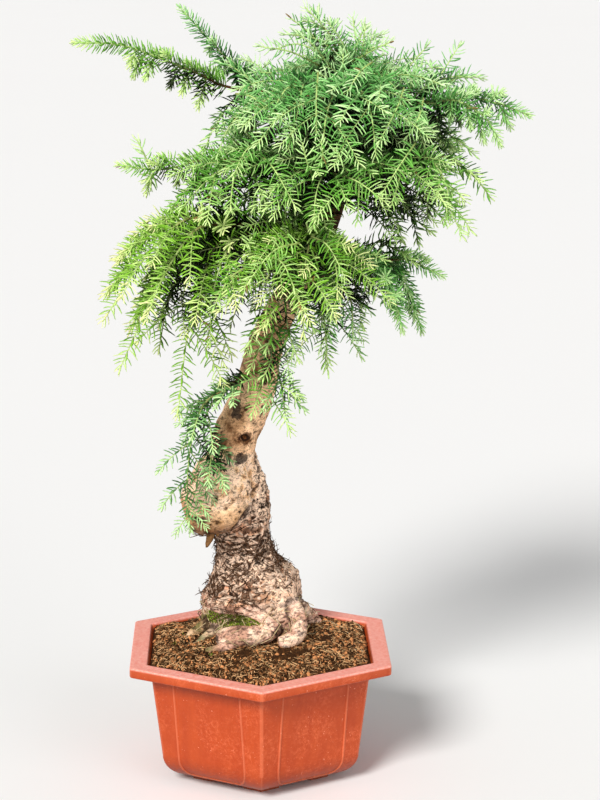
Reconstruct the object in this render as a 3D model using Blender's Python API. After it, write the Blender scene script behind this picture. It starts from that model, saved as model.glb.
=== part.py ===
"""A hoop pine bonsai in a hexagonal plastic pot. Metres, +Z up.

Every place below is measured from the pot's axis at ground level, with +X to the right, +Y to
the back and a corner of the pot towards -Y. One empty carries the whole plant, so that the
middle of its box stands over the origin.
"""

import math
import random

import bpy
import numpy as np
from mathutils import Vector

POT_PLACE = (-0.0565, 0.0, 0.0)
GAP = 0.0003  # between pieces that touch

# Pot, with corner radii of the hexagon at each height
RIM_ACROSS_FLATS = 0.340
RIM_RADIUS = RIM_ACROSS_FLATS / 2 / math.cos(math.radians(30))
RIM_TOP = 0.171
RIM_EDGE = 0.0135
RIM_WIDTH = 0.026
BODY_TOP_RADIUS = 0.165
BODY_LOW_RADIUS = 0.1495
BODY_LOW = 0.043
BASE_RADIUS = 0.108
BASE_BOTTOM = 0.009
WALL = 0.003
FLOOR_TOP = 0.0135
CORNER_ROUNDING = 0.004
FOOT_RADIUS = 0.1035
FOOT_HALF_WIDTH = 0.0235
FOOT_INNER = 0.070
FOOT_STEP = 0.0045
PANEL_SHARE = 0.30  # half the width of a side's panel, as a share of that side
RIDGE_WIDTH = 0.0026
RIDGE_HEIGHT = 0.0009

# Soil
SOIL_EDGE = 0.1650
SOIL_MOUND = 0.022
SOIL_LUMPS = 0.0022

# Trunk: x, y, z and radius from the foot in the soil to the top of the crown
TRUNK = (
    (-0.006, 0.026, 0.100, 0.036),
    (-0.008, 0.028, 0.140, 0.058),
    (-0.009, 0.031, 0.180, 0.067),
    (-0.010, 0.032, 0.207, 0.066),
    (-0.010, 0.033, 0.233, 0.0645),
    (-0.0130, 0.031, 0.249, 0.056),
    (-0.0165, 0.028, 0.268, 0.0435),
    (-0.0190, 0.024, 0.290, 0.0365),
    (-0.0225, 0.019, 0.312, 0.0335),
    (-0.0215, 0.013, 0.350, 0.0365),
    (-0.023, 0.008, 0.380, 0.034),
    (-0.031, 0.003, 0.405, 0.031),
    (-0.037, 0.000, 0.428, 0.029),
    (-0.030, 0.000, 0.457, 0.030),
    (-0.017, 0.000, 0.487, 0.028),
    (-0.004, 0.000, 0.522, 0.026),
    (0.006, 0.000, 0.568, 0.0235),
    (0.021, 0.004, 0.602, 0.021),
    (0.040, 0.010, 0.640, 0.0195),
    (0.061, 0.015, 0.682, 0.0175),
    (0.084, 0.015, 0.722, 0.015),
    (0.100, 0.010, 0.764, 0.013),
    (0.110, 0.002, 0.812, 0.0105),
    (0.114, 0.000, 0.862, 0.008),
    (0.112, 0.000, 0.912, 0.0055),
)
TRUNK_SIDES = 12
FLARE_LOBES = 7
FLARE_DEPTH = 0.07

# The burl hangs from the neck on the left, a little to the front: x, y, z and radius down its middle
BURL = (
    (-0.034, -0.004, 0.438, 0.024),
    (-0.040, -0.009, 0.425, 0.031),
    (-0.047, -0.014, 0.407, 0.038),
    (-0.053, -0.019, 0.388, 0.0435),
    (-0.0555, -0.021, 0.371, 0.0455),
    (-0.055, -0.021, 0.354, 0.042),
    (-0.053, -0.020, 0.344, 0.033),
    (-0.052, -0.019, 0.339, 0.016),
)
BURL_SIDES = 12
BURL_LUMPS = 0.05

# Surface roots: x, y, z and radius along each
ROOTS = (
    ((0.024, -0.014, 0.207, 0.0125), (0.011, -0.038, 0.2015, 0.0120), (-0.008, -0.047, 0.198, 0.0130),
     (-0.030, -0.050, 0.1965, 0.0142), (-0.048, -0.048, 0.1950, 0.0125), (-0.0565, -0.046, 0.194, 0.0080)),
    ((-0.016, -0.034, 0.188, 0.008), (-0.034, -0.056, 0.187, 0.0065), (-0.052, -0.064, 0.186, 0.0055),
     (-0.072, -0.061, 0.182, 0.003)),
    ((0.034, 0.006, 0.228, 0.016), (0.050, -0.016, 0.214, 0.0118), (0.051, -0.038, 0.198, 0.0108),
     (0.038, -0.050, 0.190, 0.0108), (0.024, -0.053, 0.188, 0.0085)),
    ((-0.044, 0.016, 0.204, 0.017), (-0.070, 0.010, 0.194, 0.010), (-0.086, 0.004, 0.187, 0.0065),
     (-0.100, 0.000, 0.178, 0.003)),
    ((-0.040, 0.000, 0.202, 0.016), (-0.060, -0.012, 0.191, 0.009), (-0.076, -0.022, 0.184, 0.0055),
     (-0.086, -0.028, 0.176, 0.003)),
    ((-0.053, -0.026, 0.239, 0.010), (-0.032, -0.034, 0.234, 0.009), (-0.005, -0.038, 0.224, 0.0085),
     (0.021, -0.042, 0.205, 0.008)),
    ((0.040, 0.035, 0.212, 0.020), (0.068, 0.048, 0.192, 0.010), (0.084, 0.054, 0.178, 0.005)),
    ((0.012, 0.076, 0.216, 0.020), (0.032, 0.100, 0.192, 0.010), (0.030, 0.118, 0.176, 0.005)),
    ((-0.030, 0.072, 0.212, 0.020), (-0.052, 0.096, 0.190, 0.010), (-0.066, 0.108, 0.176, 0.005)),
)
ROOT_SIDES = 6
ROOT_STEP = 0.030
ROOT_SLACK = 0.0005  # the soil's grooves are this much wider than the roots

# Limbs: how far up the trunk's points each starts, then the points it passes, then its two radii
LIMBS = {
    "top": (22.0, ((0.113, 0.002, 0.870), (0.112, 0.000, 0.912), (0.102, 0.002, 0.950)), 0.0060, 0.0034),
    "upper_left": (21.4, ((0.068, -0.004, 0.885), (0.012, -0.006, 0.903), (-0.030, -0.012, 0.910)),
                   0.0070, 0.0032),
    "left": (20.3, ((0.060, -0.015, 0.800), (0.010, -0.030, 0.822), (-0.036, -0.034, 0.822)),
             0.0065, 0.0030),
    "low_left": (18.6, ((0.026, -0.030, 0.712), (-0.020, -0.046, 0.742), (-0.062, -0.044, 0.746)),
                 0.0075, 0.0032),
    "low_front": (19.6, ((0.074, -0.035, 0.728), (0.066, -0.078, 0.728)), 0.0065, 0.0034),
    "front": (20.6, ((0.106, -0.045, 0.800), (0.110, -0.092, 0.822)), 0.0060, 0.0032),
    "high_front": (22.2, ((0.108, -0.045, 0.892), (0.095, -0.095, 0.908)), 0.0055, 0.0030),
    "high_right": (21.6, ((0.150, -0.005, 0.866), (0.190, -0.015, 0.888), (0.222, -0.022, 0.892)),
                   0.0060, 0.0030),
    "right": (20.8, ((0.140, -0.026, 0.800), (0.182, -0.050, 0.824), (0.212, -0.058, 0.828)),
              0.0060, 0.0030),
    "low_right": (17.8, ((0.082, 0.004, 0.668), (0.125, 0.004, 0.690), (0.160, 0.002, 0.688)),
                  0.0068, 0.0030),
    "high_back": (22.0, ((0.112, 0.050, 0.888), (0.100, 0.100, 0.902)), 0.0055, 0.0030),
    "right_back": (20.9, ((0.150, 0.052, 0.806), (0.190, 0.092, 0.822)), 0.0060, 0.0030),
    "left_back": (20.5, ((0.056, 0.058, 0.796), (0.000, 0.092, 0.816)), 0.0062, 0.0030),
    "low_back": (18.9, ((0.070, 0.066, 0.704), (0.066, 0.110, 0.712)), 0.0062, 0.0030),
    "low_left_back": (18.3, ((0.002, 0.046, 0.690), (-0.050, 0.070, 0.718)), 0.0062, 0.0030),
    "small_low": (15.3, ((-0.012, -0.038, 0.546),), 0.0048, 0.0028),
    "small_right": (16.9, ((0.034, -0.030, 0.606),), 0.0042, 0.0026),
}
LIMB_SIDES = 5
LIMB_STEP = 0.034

# Sprays: the limb that carries each, how far along it, then the points its main shoot passes
SPRAYS = {
    "top_1": ("top", 0.80, ((0.078, -0.006, 0.968), (0.042, -0.004, 0.997))),
    "top_2": ("top", 1.00, ((0.084, 0.012, 0.985), (0.060, 0.018, 1.010))),
    "top_3": ("top", 0.70, ((0.126, 0.024, 0.958), (0.122, 0.036, 0.996))),
    "top_4": ("top", 0.56, ((0.132, -0.030, 0.944), (0.144, -0.046, 0.980))),
    "long_left": ("upper_left", 1.00, ((-0.068, -0.020, 0.926), (-0.115, -0.028, 0.946),
                                       (-0.168, -0.030, 0.965), (-0.229, -0.030, 0.969))),
    "high_left": ("upper_left", 0.84,
                  ((-0.030, 0.026, 0.935), (-0.062, 0.036, 0.968), (-0.098, 0.040, 1.008))),
    "shoulder_left": ("upper_left", 0.62,
                      ((0.004, -0.058, 0.898), (-0.034, -0.084, 0.872), (-0.052, -0.094, 0.832))),
    "shoulder_front": ("upper_left", 0.36,
                       ((0.056, -0.052, 0.922), (0.026, -0.104, 0.905), (0.008, -0.140, 0.862))),
    "left_1": ("left", 1.00, ((-0.076, -0.044, 0.822), (-0.122, -0.050, 0.812), (-0.176, -0.050, 0.818))),
    "left_2": ("left", 0.80, ((-0.030, -0.078, 0.824), (-0.066, -0.096, 0.802), (-0.098, -0.102, 0.768))),
    "left_3": ("left", 0.55, ((-0.006, -0.098, 0.838), (-0.030, -0.132, 0.812), (-0.036, -0.150, 0.772))),
    "low_left_1": ("low_left", 0.94,
                   ((-0.098, -0.040, 0.754), (-0.148, -0.036, 0.718), (-0.190, -0.036, 0.652))),
    "low_left_2": ("low_left", 0.84,
                   ((-0.094, -0.082, 0.752), (-0.144, -0.098, 0.706), (-0.196, -0.104, 0.628))),
    "low_left_3": ("low_left", 0.74,
                   ((-0.080, -0.100, 0.742), (-0.128, -0.112, 0.670), (-0.176, -0.112, 0.568))),
    "low_left_4": ("low_left", 1.00,
                   ((-0.090, -0.042, 0.706), (-0.116, -0.050, 0.640), (-0.128, -0.052, 0.580))),
    "low_left_5": ("low_left", 0.64,
                   ((-0.056, -0.082, 0.716), (-0.088, -0.088, 0.620), (-0.104, -0.088, 0.502))),
    "low_left_6": ("low_left", 0.50,
                   ((-0.036, -0.092, 0.722), (-0.058, -0.112, 0.664), (-0.062, -0.118, 0.602))),
    "low_front_1": ("low_front", 0.70,
                    ((0.034, -0.104, 0.738), (0.002, -0.130, 0.714), (-0.024, -0.142, 0.668))),
    "low_front_2": ("low_front", 0.84,
                    ((0.040, -0.092, 0.708), (0.016, -0.140, 0.684), (0.006, -0.154, 0.632))),
    "low_front_3": ("low_front", 1.00,
                    ((0.062, -0.120, 0.728), (0.052, -0.156, 0.684), (0.054, -0.160, 0.616))),
    "low_front_4": ("low_front", 0.55,
                    ((0.083, -0.098, 0.726), (0.094, -0.132, 0.702), (0.096, -0.144, 0.662))),
    "front_1": ("front", 0.72, ((0.070, -0.118, 0.834), (0.038, -0.152, 0.812), (0.016, -0.168, 0.768))),
    "front_2": ("front", 0.88, ((0.092, -0.140, 0.836), (0.070, -0.174, 0.806), (0.064, -0.184, 0.756))),
    "front_3": ("front", 1.00, ((0.118, -0.130, 0.832), (0.120, -0.168, 0.808), (0.118, -0.182, 0.764))),
    "high_front_1": ("high_front", 0.66,
                     ((0.058, -0.096, 0.924), (0.048, -0.156, 0.900), (0.034, -0.174, 0.850))),
    "high_front_2": ("high_front", 1.00,
                     ((0.092, -0.134, 0.916), (0.080, -0.172, 0.890), (0.074, -0.188, 0.838))),
    "high_front_3": ("high_front", 0.86,
                     ((0.120, -0.126, 0.922), (0.134, -0.162, 0.894), (0.140, -0.176, 0.842))),
    "high_front_4": ("high_front", 0.50,
                     ((0.136, -0.076, 0.932), (0.164, -0.112, 0.922), (0.184, -0.140, 0.882))),
    "high_right_1": ("high_right", 0.62, ((0.190, 0.010, 0.930), (0.218, 0.018, 0.962))),
    "high_right_2": ("high_right", 0.84, ((0.232, 0.012, 0.922), (0.258, 0.020, 0.962))),
    "high_right_3": ("high_right", 1.00,
                     ((0.266, -0.036, 0.900), (0.304, -0.046, 0.892), (0.341, -0.048, 0.878))),
    "high_right_4": ("high_right", 0.92,
                     ((0.248, -0.064, 0.898), (0.282, -0.082, 0.878), (0.300, -0.088, 0.846))),
    "right_1": ("right", 1.00, ((0.246, -0.064, 0.822), (0.272, -0.066, 0.802), (0.292, -0.064, 0.776))),
    "right_2": ("right", 0.86, ((0.216, -0.100, 0.826), (0.232, -0.116, 0.796), (0.230, -0.120, 0.754))),
    "right_3": ("right", 0.66, ((0.172, -0.102, 0.832), (0.172, -0.142, 0.818), (0.160, -0.166, 0.782))),
    "low_right_1": ("low_right", 1.00, ((0.192, -0.006, 0.690), (0.238, -0.014, 0.668))),
    "low_right_2": ("low_right", 0.90,
                    ((0.182, 0.034, 0.672), (0.202, 0.042, 0.630), (0.216, 0.044, 0.584))),
    "low_right_3": ("low_right", 0.80,
                    ((0.150, -0.044, 0.688), (0.170, -0.062, 0.656), (0.182, -0.066, 0.606))),
    "low_right_4": ("low_right", 0.62,
                    ((0.111, -0.036, 0.678), (0.118, -0.052, 0.637), (0.120, -0.054, 0.594))),
    "low_right_5": ("low_right", 0.50,
                    ((0.096, 0.030, 0.648), (0.092, 0.036, 0.600), (0.088, 0.038, 0.544))),
    "high_back_1": ("high_back", 0.70,
                    ((0.058, 0.104, 0.924), (0.048, 0.156, 0.906), (0.030, 0.174, 0.860))),
    "high_back_2": ("high_back", 1.00,
                    ((0.100, 0.140, 0.914), (0.104, 0.178, 0.890), (0.108, 0.194, 0.842))),
    "high_back_3": ("high_back", 0.55,
                    ((0.150, 0.086, 0.926), (0.186, 0.118, 0.912), (0.208, 0.138, 0.868))),
    "right_back_1": ("right_back", 0.72,
                     ((0.214, 0.066, 0.836), (0.248, 0.084, 0.826), (0.274, 0.092, 0.790))),
    "right_back_2": ("right_back", 1.00,
                     ((0.208, 0.126, 0.830), (0.216, 0.154, 0.806), (0.216, 0.168, 0.758))),
    "left_back_1": ("left_back", 0.72,
                    ((-0.009, 0.064, 0.840), (-0.025, 0.088, 0.852), (-0.038, 0.108, 0.821))),
    "left_back_2": ("left_back", 1.00,
                    ((-0.022, 0.124, 0.818), (-0.044, 0.150, 0.792), (-0.054, 0.162, 0.740))),
    "low_back_1": ("low_back", 0.80, ((0.034, 0.136, 0.720), (0.012, 0.164, 0.690), (0.002, 0.176, 0.634))),
    "low_back_2": ("low_back", 1.00, ((0.070, 0.148, 0.706), (0.076, 0.176, 0.668), (0.078, 0.186, 0.612))),
    "low_back_3": ("low_back", 0.62,
                   ((0.102, 0.110, 0.692), (0.133, 0.134, 0.663), (0.150, 0.142, 0.618))),
    "low_left_back_1": ("low_left_back", 0.80,
                        ((-0.076, 0.056, 0.732), (-0.116, 0.060, 0.698), (-0.142, 0.062, 0.634))),
    "low_left_back_2": ("low_left_back", 1.00,
                        ((-0.072, 0.098, 0.712), (-0.092, 0.120, 0.672), (-0.100, 0.128, 0.612))),
    "small_low_1": ("small_low", 0.80,
                    ((-0.040, -0.060, 0.533), (-0.072, -0.072, 0.513), (-0.089, -0.078, 0.456),
                     (-0.093, -0.080, 0.391), (-0.089, -0.080, 0.347))),
    "small_low_2": ("small_low", 1.00,
                    ((-0.043, -0.060, 0.532), (-0.070, -0.074, 0.497), (-0.066, -0.080, 0.457),
                     (-0.041, -0.088, 0.411))),
    "small_right_1": ("small_right", 1.00,
                     ((0.024, -0.056, 0.566), (0.029, -0.062, 0.531), (0.034, -0.064, 0.492))),
}
STUB_LENGTH = 0.010
STUB_RADIUS = 0.0021
STUB_SIDES = 3
STRAIGHT_START = 0.008  # each shoot leaves its stub in line with it

# Shoots and needles
SHOOT_RADIUS = 0.0013
SHOOT_TIP_RADIUS = 0.0009
WHORL_FIRST = 0.007
WHORL_STEP = 0.0235
WHORL_LENGTH = 0.0017
WHORL_TWIST = math.radians(48)
NEEDLE_LENGTH = 0.0175
NEEDLE_TIP_SHARE = 0.72  # needles at a shoot's end are this much of the full length
NEEDLE_LEAN = math.radians(52)
NEEDLE_TIP_LEAN = math.radians(30)
BUD_LENGTH = 0.006

# Side shoots leave the main shoot in turn to its left and right
SIDE_SPACING = 0.012
SIDE_EVERY = 7
SIDE_LEAN = math.radians(48)
SIDE_LONGEST = 0.062
SIDE_SHORTEST = 0.022
SIDE_SHARE = 0.46
SIDE_SAG = 0.24

SHOOT_STEP = 0.010  # between the points of a main shoot
SIDE_STEP = 0.007
SHOOT_CLEARANCE = 0.0036
NEEDLE_CLEARANCE = 0.0009
NEEDLE_HALF_WIDTH = 0.0007
NEEDLE_ROOT = 0.0025  # this much of a needle may lie close to its own shoot
NEEDLE_OWNER = 100000  # added to a shoot's number for the needles on it
WOOD_OWNER = -1

COLOURS = {
    "plastic": ((0.62, 0.10, 0.035), 0.42),
    "mulch": ((0.20, 0.105, 0.045), 0.95),
    "bark": ((0.33, 0.19, 0.105), 0.88),
    "green": ((0.105, 0.27, 0.045), 0.55),
    "pale_green": ((0.32, 0.48, 0.10), 0.55),
    "blue_green": ((0.085, 0.26, 0.11), 0.55),
}


def material(name):
    """The Principled material of this name, made once."""
    if name in bpy.data.materials:
        return bpy.data.materials[name]
    colour, roughness = COLOURS[name]
    made = bpy.data.materials.new(name)
    made.use_nodes = True
    shader = made.node_tree.nodes["Principled BSDF"]
    shader.inputs["Base Color"].default_value = (*colour, 1.0)
    shader.inputs["Roughness"].default_value = roughness
    shader.inputs["Metallic"].default_value = 0.0
    return made


def add_object(name, points, faces, look, smooth=True):
    mesh = bpy.data.meshes.new(name)
    mesh.from_pydata([tuple(p) for p in points], [], faces)
    mesh.materials.append(material(look))
    if smooth:
        mesh.shade_smooth()
        mesh.set_sharp_from_angle(angle=math.radians(40))
    obj = bpy.data.objects.new(name, mesh)
    bpy.context.collection.objects.link(obj)
    return obj


def combine(target, pieces, operation):
    """One Boolean of all the pieces on the target, applied, with the pieces then removed."""
    group = bpy.data.collections.new("pieces")
    bpy.context.scene.collection.children.link(group)
    for piece in pieces:
        bpy.context.collection.objects.unlink(piece)
        group.objects.link(piece)
    modifier = target.modifiers.new("combine", "BOOLEAN")
    modifier.operation = operation
    modifier.operand_type = "COLLECTION"
    modifier.collection = group
    modifier.solver = "EXACT"
    bpy.context.view_layer.update()
    done = bpy.data.meshes.new_from_object(target.evaluated_get(bpy.context.evaluated_depsgraph_get()))
    target.modifiers.remove(modifier)
    target.data = done
    for piece in list(group.objects):
        bpy.data.objects.remove(piece)
    bpy.data.collections.remove(group)


def unit(vector):
    return vector / np.linalg.norm(vector)


def smooth_line(points, step):
    """A smooth curve through the points, as places the same short step apart."""
    points = np.array(points, float)
    padded = np.vstack([2 * points[0] - points[1], points, 2 * points[-1] - points[-2]])
    share = np.linspace(0, 1, 24, endpoint=False)[:, None]
    run = []
    for a, b, c, d in zip(padded, padded[1:], padded[2:], padded[3:]):
        run.append(0.5 * (2 * b + (c - a) * share + (2 * a - 5 * b + 4 * c - d) * share**2
                          + (3 * b - a - 3 * c + d) * share**3))
    run = np.vstack([*run, points[-1:]])
    along = np.concatenate([[0], np.cumsum(np.linalg.norm(np.diff(run[:, :3], axis=0), axis=1))])
    count = max(2, round(along[-1] / step))
    places = np.linspace(0, along[-1], count + 1)
    return np.stack([np.interp(places, along, run[:, k]) for k in range(points.shape[1])], axis=1)


def frames(line):
    """The direction at each point of a line and two sides that turn as little as they can."""
    ahead = np.gradient(line[:, :3], axis=0)
    ahead /= np.linalg.norm(ahead, axis=1)[:, None]
    first = np.cross(ahead[0], (0.0, 0.0, 1.0))
    if np.linalg.norm(first) < 0.2:
        first = np.cross(ahead[0], (0.0, 1.0, 0.0))
    sides = [unit(first)]
    for direction in ahead[1:]:
        sides.append(unit(sides[-1] - direction * (sides[-1] @ direction)))
    sides = np.array(sides)
    return ahead, sides, np.cross(ahead, sides)


def circle(centre, side, other, radius, sides, turn=0.0):
    angles = turn + np.arange(sides) * math.tau / sides
    return centre + radius * (np.cos(angles)[:, None] * side + np.sin(angles)[:, None] * other)


def loft(rings, flat=False):
    """A closed solid through rings of the same number of points. Flat sides stay whole."""
    count = len(rings[0])
    faces = []
    for k in range(len(rings) - 1):
        low, high = k * count, (k + 1) * count
        for j in range(count):
            n = (j + 1) % count
            corners = (low + j, low + n, high + n, high + j)
            faces += [corners] if flat else [corners[:3], (corners[0], *corners[2:])]
    faces.append(tuple(range(count - 1, -1, -1)))
    faces.append(tuple(range((len(rings) - 1) * count, len(rings) * count)))
    return np.vstack(rings), faces


def tube(line, sides):
    """A round tube along a line whose points hold x, y, z and radius."""
    _, side, other = frames(line)
    return loft([circle(p[:3], s, o, p[3], sides) for p, s, o in zip(line, side, other)])


def hexagon(radius, height, rounding=CORNER_ROUNDING):
    """A ring round a hexagon whose corners are rounded, three points to a corner."""
    ring = []
    for corner in range(6):
        middle = math.radians(60 * corner - 90)
        centre = radius - rounding / math.sin(math.radians(60))
        for swing in (-30, 0, 30):
            angle = middle + math.radians(swing)
            ring.append((centre * math.cos(middle) + rounding * math.cos(angle),
                         centre * math.sin(middle) + rounding * math.sin(angle), height))
    return np.array(ring)


def body_radius(height):
    """The corner radius of the pot's outside at a height, with the curve under to its base."""
    if height >= BODY_LOW:
        share = (height - BODY_LOW) / (RIM_TOP - RIM_EDGE - BODY_LOW)
        return BODY_LOW_RADIUS + share * (BODY_TOP_RADIUS - BODY_LOW_RADIUS)
    share = 1 - (height - BASE_BOTTOM) / (BODY_LOW - BASE_BOTTOM)
    return BASE_RADIUS + (BODY_LOW_RADIUS - BASE_RADIUS) * math.sqrt(max(0.0, 1 - share**2))


def inner_radius(height):
    """The corner radius of the pot's inside at a height."""
    flare = max(0.0, height - (RIM_TOP - RIM_EDGE)) / RIM_EDGE
    lip = RIM_RADIUS - RIM_WIDTH - BODY_TOP_RADIUS + WALL
    return body_radius(min(height, RIM_TOP - RIM_EDGE)) - WALL + flare * lip


def foot(corner, radius, half_width, inner, low, high):
    """A block under a corner of the base, cut to the shape of that corner."""
    slope = 1 / math.tan(math.radians(60))
    plan = ((radius, 0), (radius - half_width * slope, half_width), (inner, half_width),
            (inner, -half_width), (radius - half_width * slope, -half_width))
    angle = math.radians(60 * corner - 90)
    out = np.array((math.cos(angle), math.sin(angle), 0.0))
    across = np.array((-math.sin(angle), math.cos(angle), 0.0))
    ring = np.array([out * r + across * w for r, w in plan])
    return loft([ring + (0, 0, low), ring + (0, 0, high)])


def panel_ridge(side):
    """The thin ridge that frames a side's panel: down one edge, across the bottom and up again."""
    heights = (RIM_TOP - RIM_EDGE - 0.004, BODY_LOW, 0.0195)
    half_widths = (1.0, 1.0, 0.85)
    down = [(share, height) for share, height in zip(half_widths, heights)]
    path = [(-share, height) for share, height in down] + down[::-1]
    angle = math.radians(60 * side - 60)
    out = np.array((math.cos(angle), math.sin(angle), 0.0))
    across = np.array((-math.sin(angle), math.cos(angle), 0.0))
    flat = math.cos(math.radians(30))
    places = []
    for share, height in path:
        width = share * PANEL_SHARE * body_radius(height)
        places.append(out * body_radius(height) * flat + across * width + (0, 0, height))
    places = np.array(places)
    ahead = np.gradient(places, axis=0)
    rings = []
    for place, direction, (_, height) in zip(places, ahead, path):
        rise = body_radius(height + 0.002) - body_radius(height - 0.002)
        normal = unit(out * 0.004 - np.array((0, 0, 1.0)) * rise * flat)
        beside = unit(np.cross(normal, unit(direction)))
        root = place - normal * RIDGE_HEIGHT
        rings.append(np.array((root - beside * RIDGE_WIDTH, root + beside * RIDGE_WIDTH,
                               place + normal * RIDGE_HEIGHT)))
    return loft(rings)


def make_pot():
    rim_low = RIM_TOP - RIM_EDGE
    lip = RIM_RADIUS - RIM_WIDTH
    curve = [BASE_BOTTOM + (BODY_LOW - BASE_BOTTOM) * share for share in (0.0, 0.06, 0.25, 0.55, 1.0)]
    rings = [hexagon(body_radius(z), z) for z in curve]
    rings.append(hexagon(BODY_TOP_RADIUS, rim_low))
    rings.append(hexagon(RIM_RADIUS - 0.001, rim_low))
    rings.append(hexagon(RIM_RADIUS, rim_low + 0.002))
    rings.append(hexagon(RIM_RADIUS, RIM_TOP - 0.002))
    rings.append(hexagon(RIM_RADIUS - 0.002, RIM_TOP))
    rings.append(hexagon(lip, RIM_TOP))
    rings.append(hexagon(inner_radius(rim_low), rim_low))
    rings.append(hexagon(inner_radius(BODY_LOW), BODY_LOW))
    rings.append(hexagon(inner_radius(0.020), 0.020))
    rings.append(hexagon(inner_radius(FLOOR_TOP), FLOOR_TOP))
    pot = add_object("pot", *loft(rings, flat=True), "plastic")
    extras = []
    for corner in range(6):
        upper = foot(corner, BASE_RADIUS - 0.002, FOOT_HALF_WIDTH + 0.006, FOOT_INNER - 0.006, FOOT_STEP,
                     BASE_BOTTOM + 0.002)
        lower = foot(corner, FOOT_RADIUS, FOOT_HALF_WIDTH, FOOT_INNER, 0.0, FOOT_STEP + 0.001)
        extras.append(add_object("foot_step", *upper, "plastic"))
        extras.append(add_object("foot", *lower, "plastic"))
        extras.append(add_object("ridge", *panel_ridge(corner), "plastic"))
    combine(pot, extras, "UNION")
    return pot


def soil_height(x, y):
    """The soil's top: level at the wall, higher round the trunk, with low lumps."""
    reach = math.hypot(x, y) / (RIM_RADIUS - RIM_WIDTH)
    mound = SOIL_MOUND * max(0.0, 1 - reach**2) ** 0.7
    lumps = math.sin(61 * x + 1.3) * math.sin(53 * y + 0.4) + 0.5 * math.sin(117 * x - 83 * y)
    return SOIL_EDGE + mound + SOIL_LUMPS * lumps * min(1.0, 3 * (1 - min(1.0, reach)))


def make_soil():
    """Fills the pot to just under its rim."""
    low = FLOOR_TOP + GAP
    rings = [hexagon(inner_radius(z) - 0.0006, z) for z in (low, 0.020, BODY_LOW, RIM_TOP - RIM_EDGE)]
    edge = hexagon(inner_radius(SOIL_EDGE) - 0.0006, SOIL_EDGE)
    rings.append(edge)
    for share in (0.86, 0.68, 0.50, 0.32, 0.12):
        ring = edge * (share, share, 1.0)
        ring[:, 2] = [soil_height(x, y) for x, y, _ in ring]
        rings.append(ring)
    points, faces = loft(rings)
    soil = add_object("soil", points, faces, "mulch")
    cutters = [add_object("hole", *trunk_shape(TRUNK[:5], ROOT_SLACK), "mulch")]
    cutters += [add_object("groove", *root_shape(root, ROOT_SLACK), "mulch") for root in ROOTS]
    combine(soil, cutters, "DIFFERENCE")
    return soil


def trunk_shape(points, slack=0.0):
    """The trunk's loft, lobed like a root flare near the ground and slightly uneven above."""
    line = np.array(points, float)
    if slack:
        line[0, 2] -= slack
        line[:, 3] += slack
    _, side, other = frames(line)
    rings = []
    for place, s, o in zip(line, side, other):
        height = place[2]
        angles = np.arange(TRUNK_SIDES) * math.tau / TRUNK_SIDES
        flare = FLARE_DEPTH * max(0.0, min(1.0, (0.30 - height) / 0.10)) * (height > TRUNK[0][2] + 0.01)
        lumps = 1 + flare * np.cos(FLARE_LOBES * angles + 1.0)
        lumps += 0.03 * np.sin(3 * angles + 41 * height) + 0.02 * np.sin(5 * angles - 67 * height)
        spread = np.cos(angles)[:, None] * s + np.sin(angles)[:, None] * o
        rings.append(place[:3] + spread * (place[3] * lumps)[:, None])
    return loft(rings)


def root_shape(points, slack=0.0):
    line = smooth_line(points, ROOT_STEP)
    line[:, 3] += slack
    end = unit(line[-1, :3] - line[-2, :3])
    line[-1, :3] += end * slack
    return tube(line, ROOT_SIDES)


def burl_shape():
    """The burl, with low lumps all round."""
    line = np.array(BURL, float)
    _, side, other = frames(line)
    angles = np.arange(BURL_SIDES) * math.tau / BURL_SIDES
    spread = np.cos(angles)[:, None], np.sin(angles)[:, None]
    rings = []
    for place, s, o in zip(line, side, other):
        lumps = 1 + BURL_LUMPS * np.sin(3 * angles + 60 * place[2]) * np.sin(90 * place[2] + angles)
        rings.append(place[:3] + (spread[0] * s + spread[1] * o) * (place[3] * lumps)[:, None])
    return loft(rings)


def limb_lines():
    """Each limb as a smooth line of x, y, z and radius from the middle of the trunk."""
    trunk = np.array(TRUNK, float)
    lines = {}
    for name, (start, points, thick, thin) in LIMBS.items():
        low = int(start)
        place = trunk[low] + (start - low) * (trunk[low + 1] - trunk[low])
        line = smooth_line([place[:3], *points], LIMB_STEP)
        lines[name] = np.column_stack([line, np.linspace(thick, thin, len(line))])
    return lines


def point_on(line, share):
    place = share * (len(line) - 1)
    low = min(int(place), len(line) - 2)
    return line[low] + (place - low) * (line[low + 1] - line[low])


def spray_paths(limbs):
    """For each spray, its stub's start and end and the points of its main shoot."""
    paths = {}
    for name, (limb, share, points) in SPRAYS.items():
        start = point_on(limbs[limb], share)
        out = unit(np.array(points[0]) - start[:3])
        if share == 1.0:
            out = unit(out + 2 * unit(limbs[limb][-1, :3] - limbs[limb][-2, :3]))
        end = start[:3] + out * (start[3] + STUB_LENGTH)
        straight = [end + out * GAP, end + out * STRAIGHT_START]
        paths[name] = (start, end, straight + [np.array(p) for p in points])
    return paths


def make_trunk(limbs, paths):
    trunk = add_object("trunk", *trunk_shape(TRUNK), "bark")
    pieces = [add_object("burl", *burl_shape(), "bark")]
    pieces += [add_object("root", *root_shape(root), "bark") for root in ROOTS]
    pieces += [add_object("limb", *tube(line, LIMB_SIDES), "bark") for line in limbs.values()]
    for start, end, _ in paths.values():
        line = np.array([[*start[:3], STUB_RADIUS], [*end, STUB_RADIUS]])
        pieces.append(add_object("stub", *tube(line, STUB_SIDES), "bark"))
    combine(trunk, pieces, "UNION")
    return trunk


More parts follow.
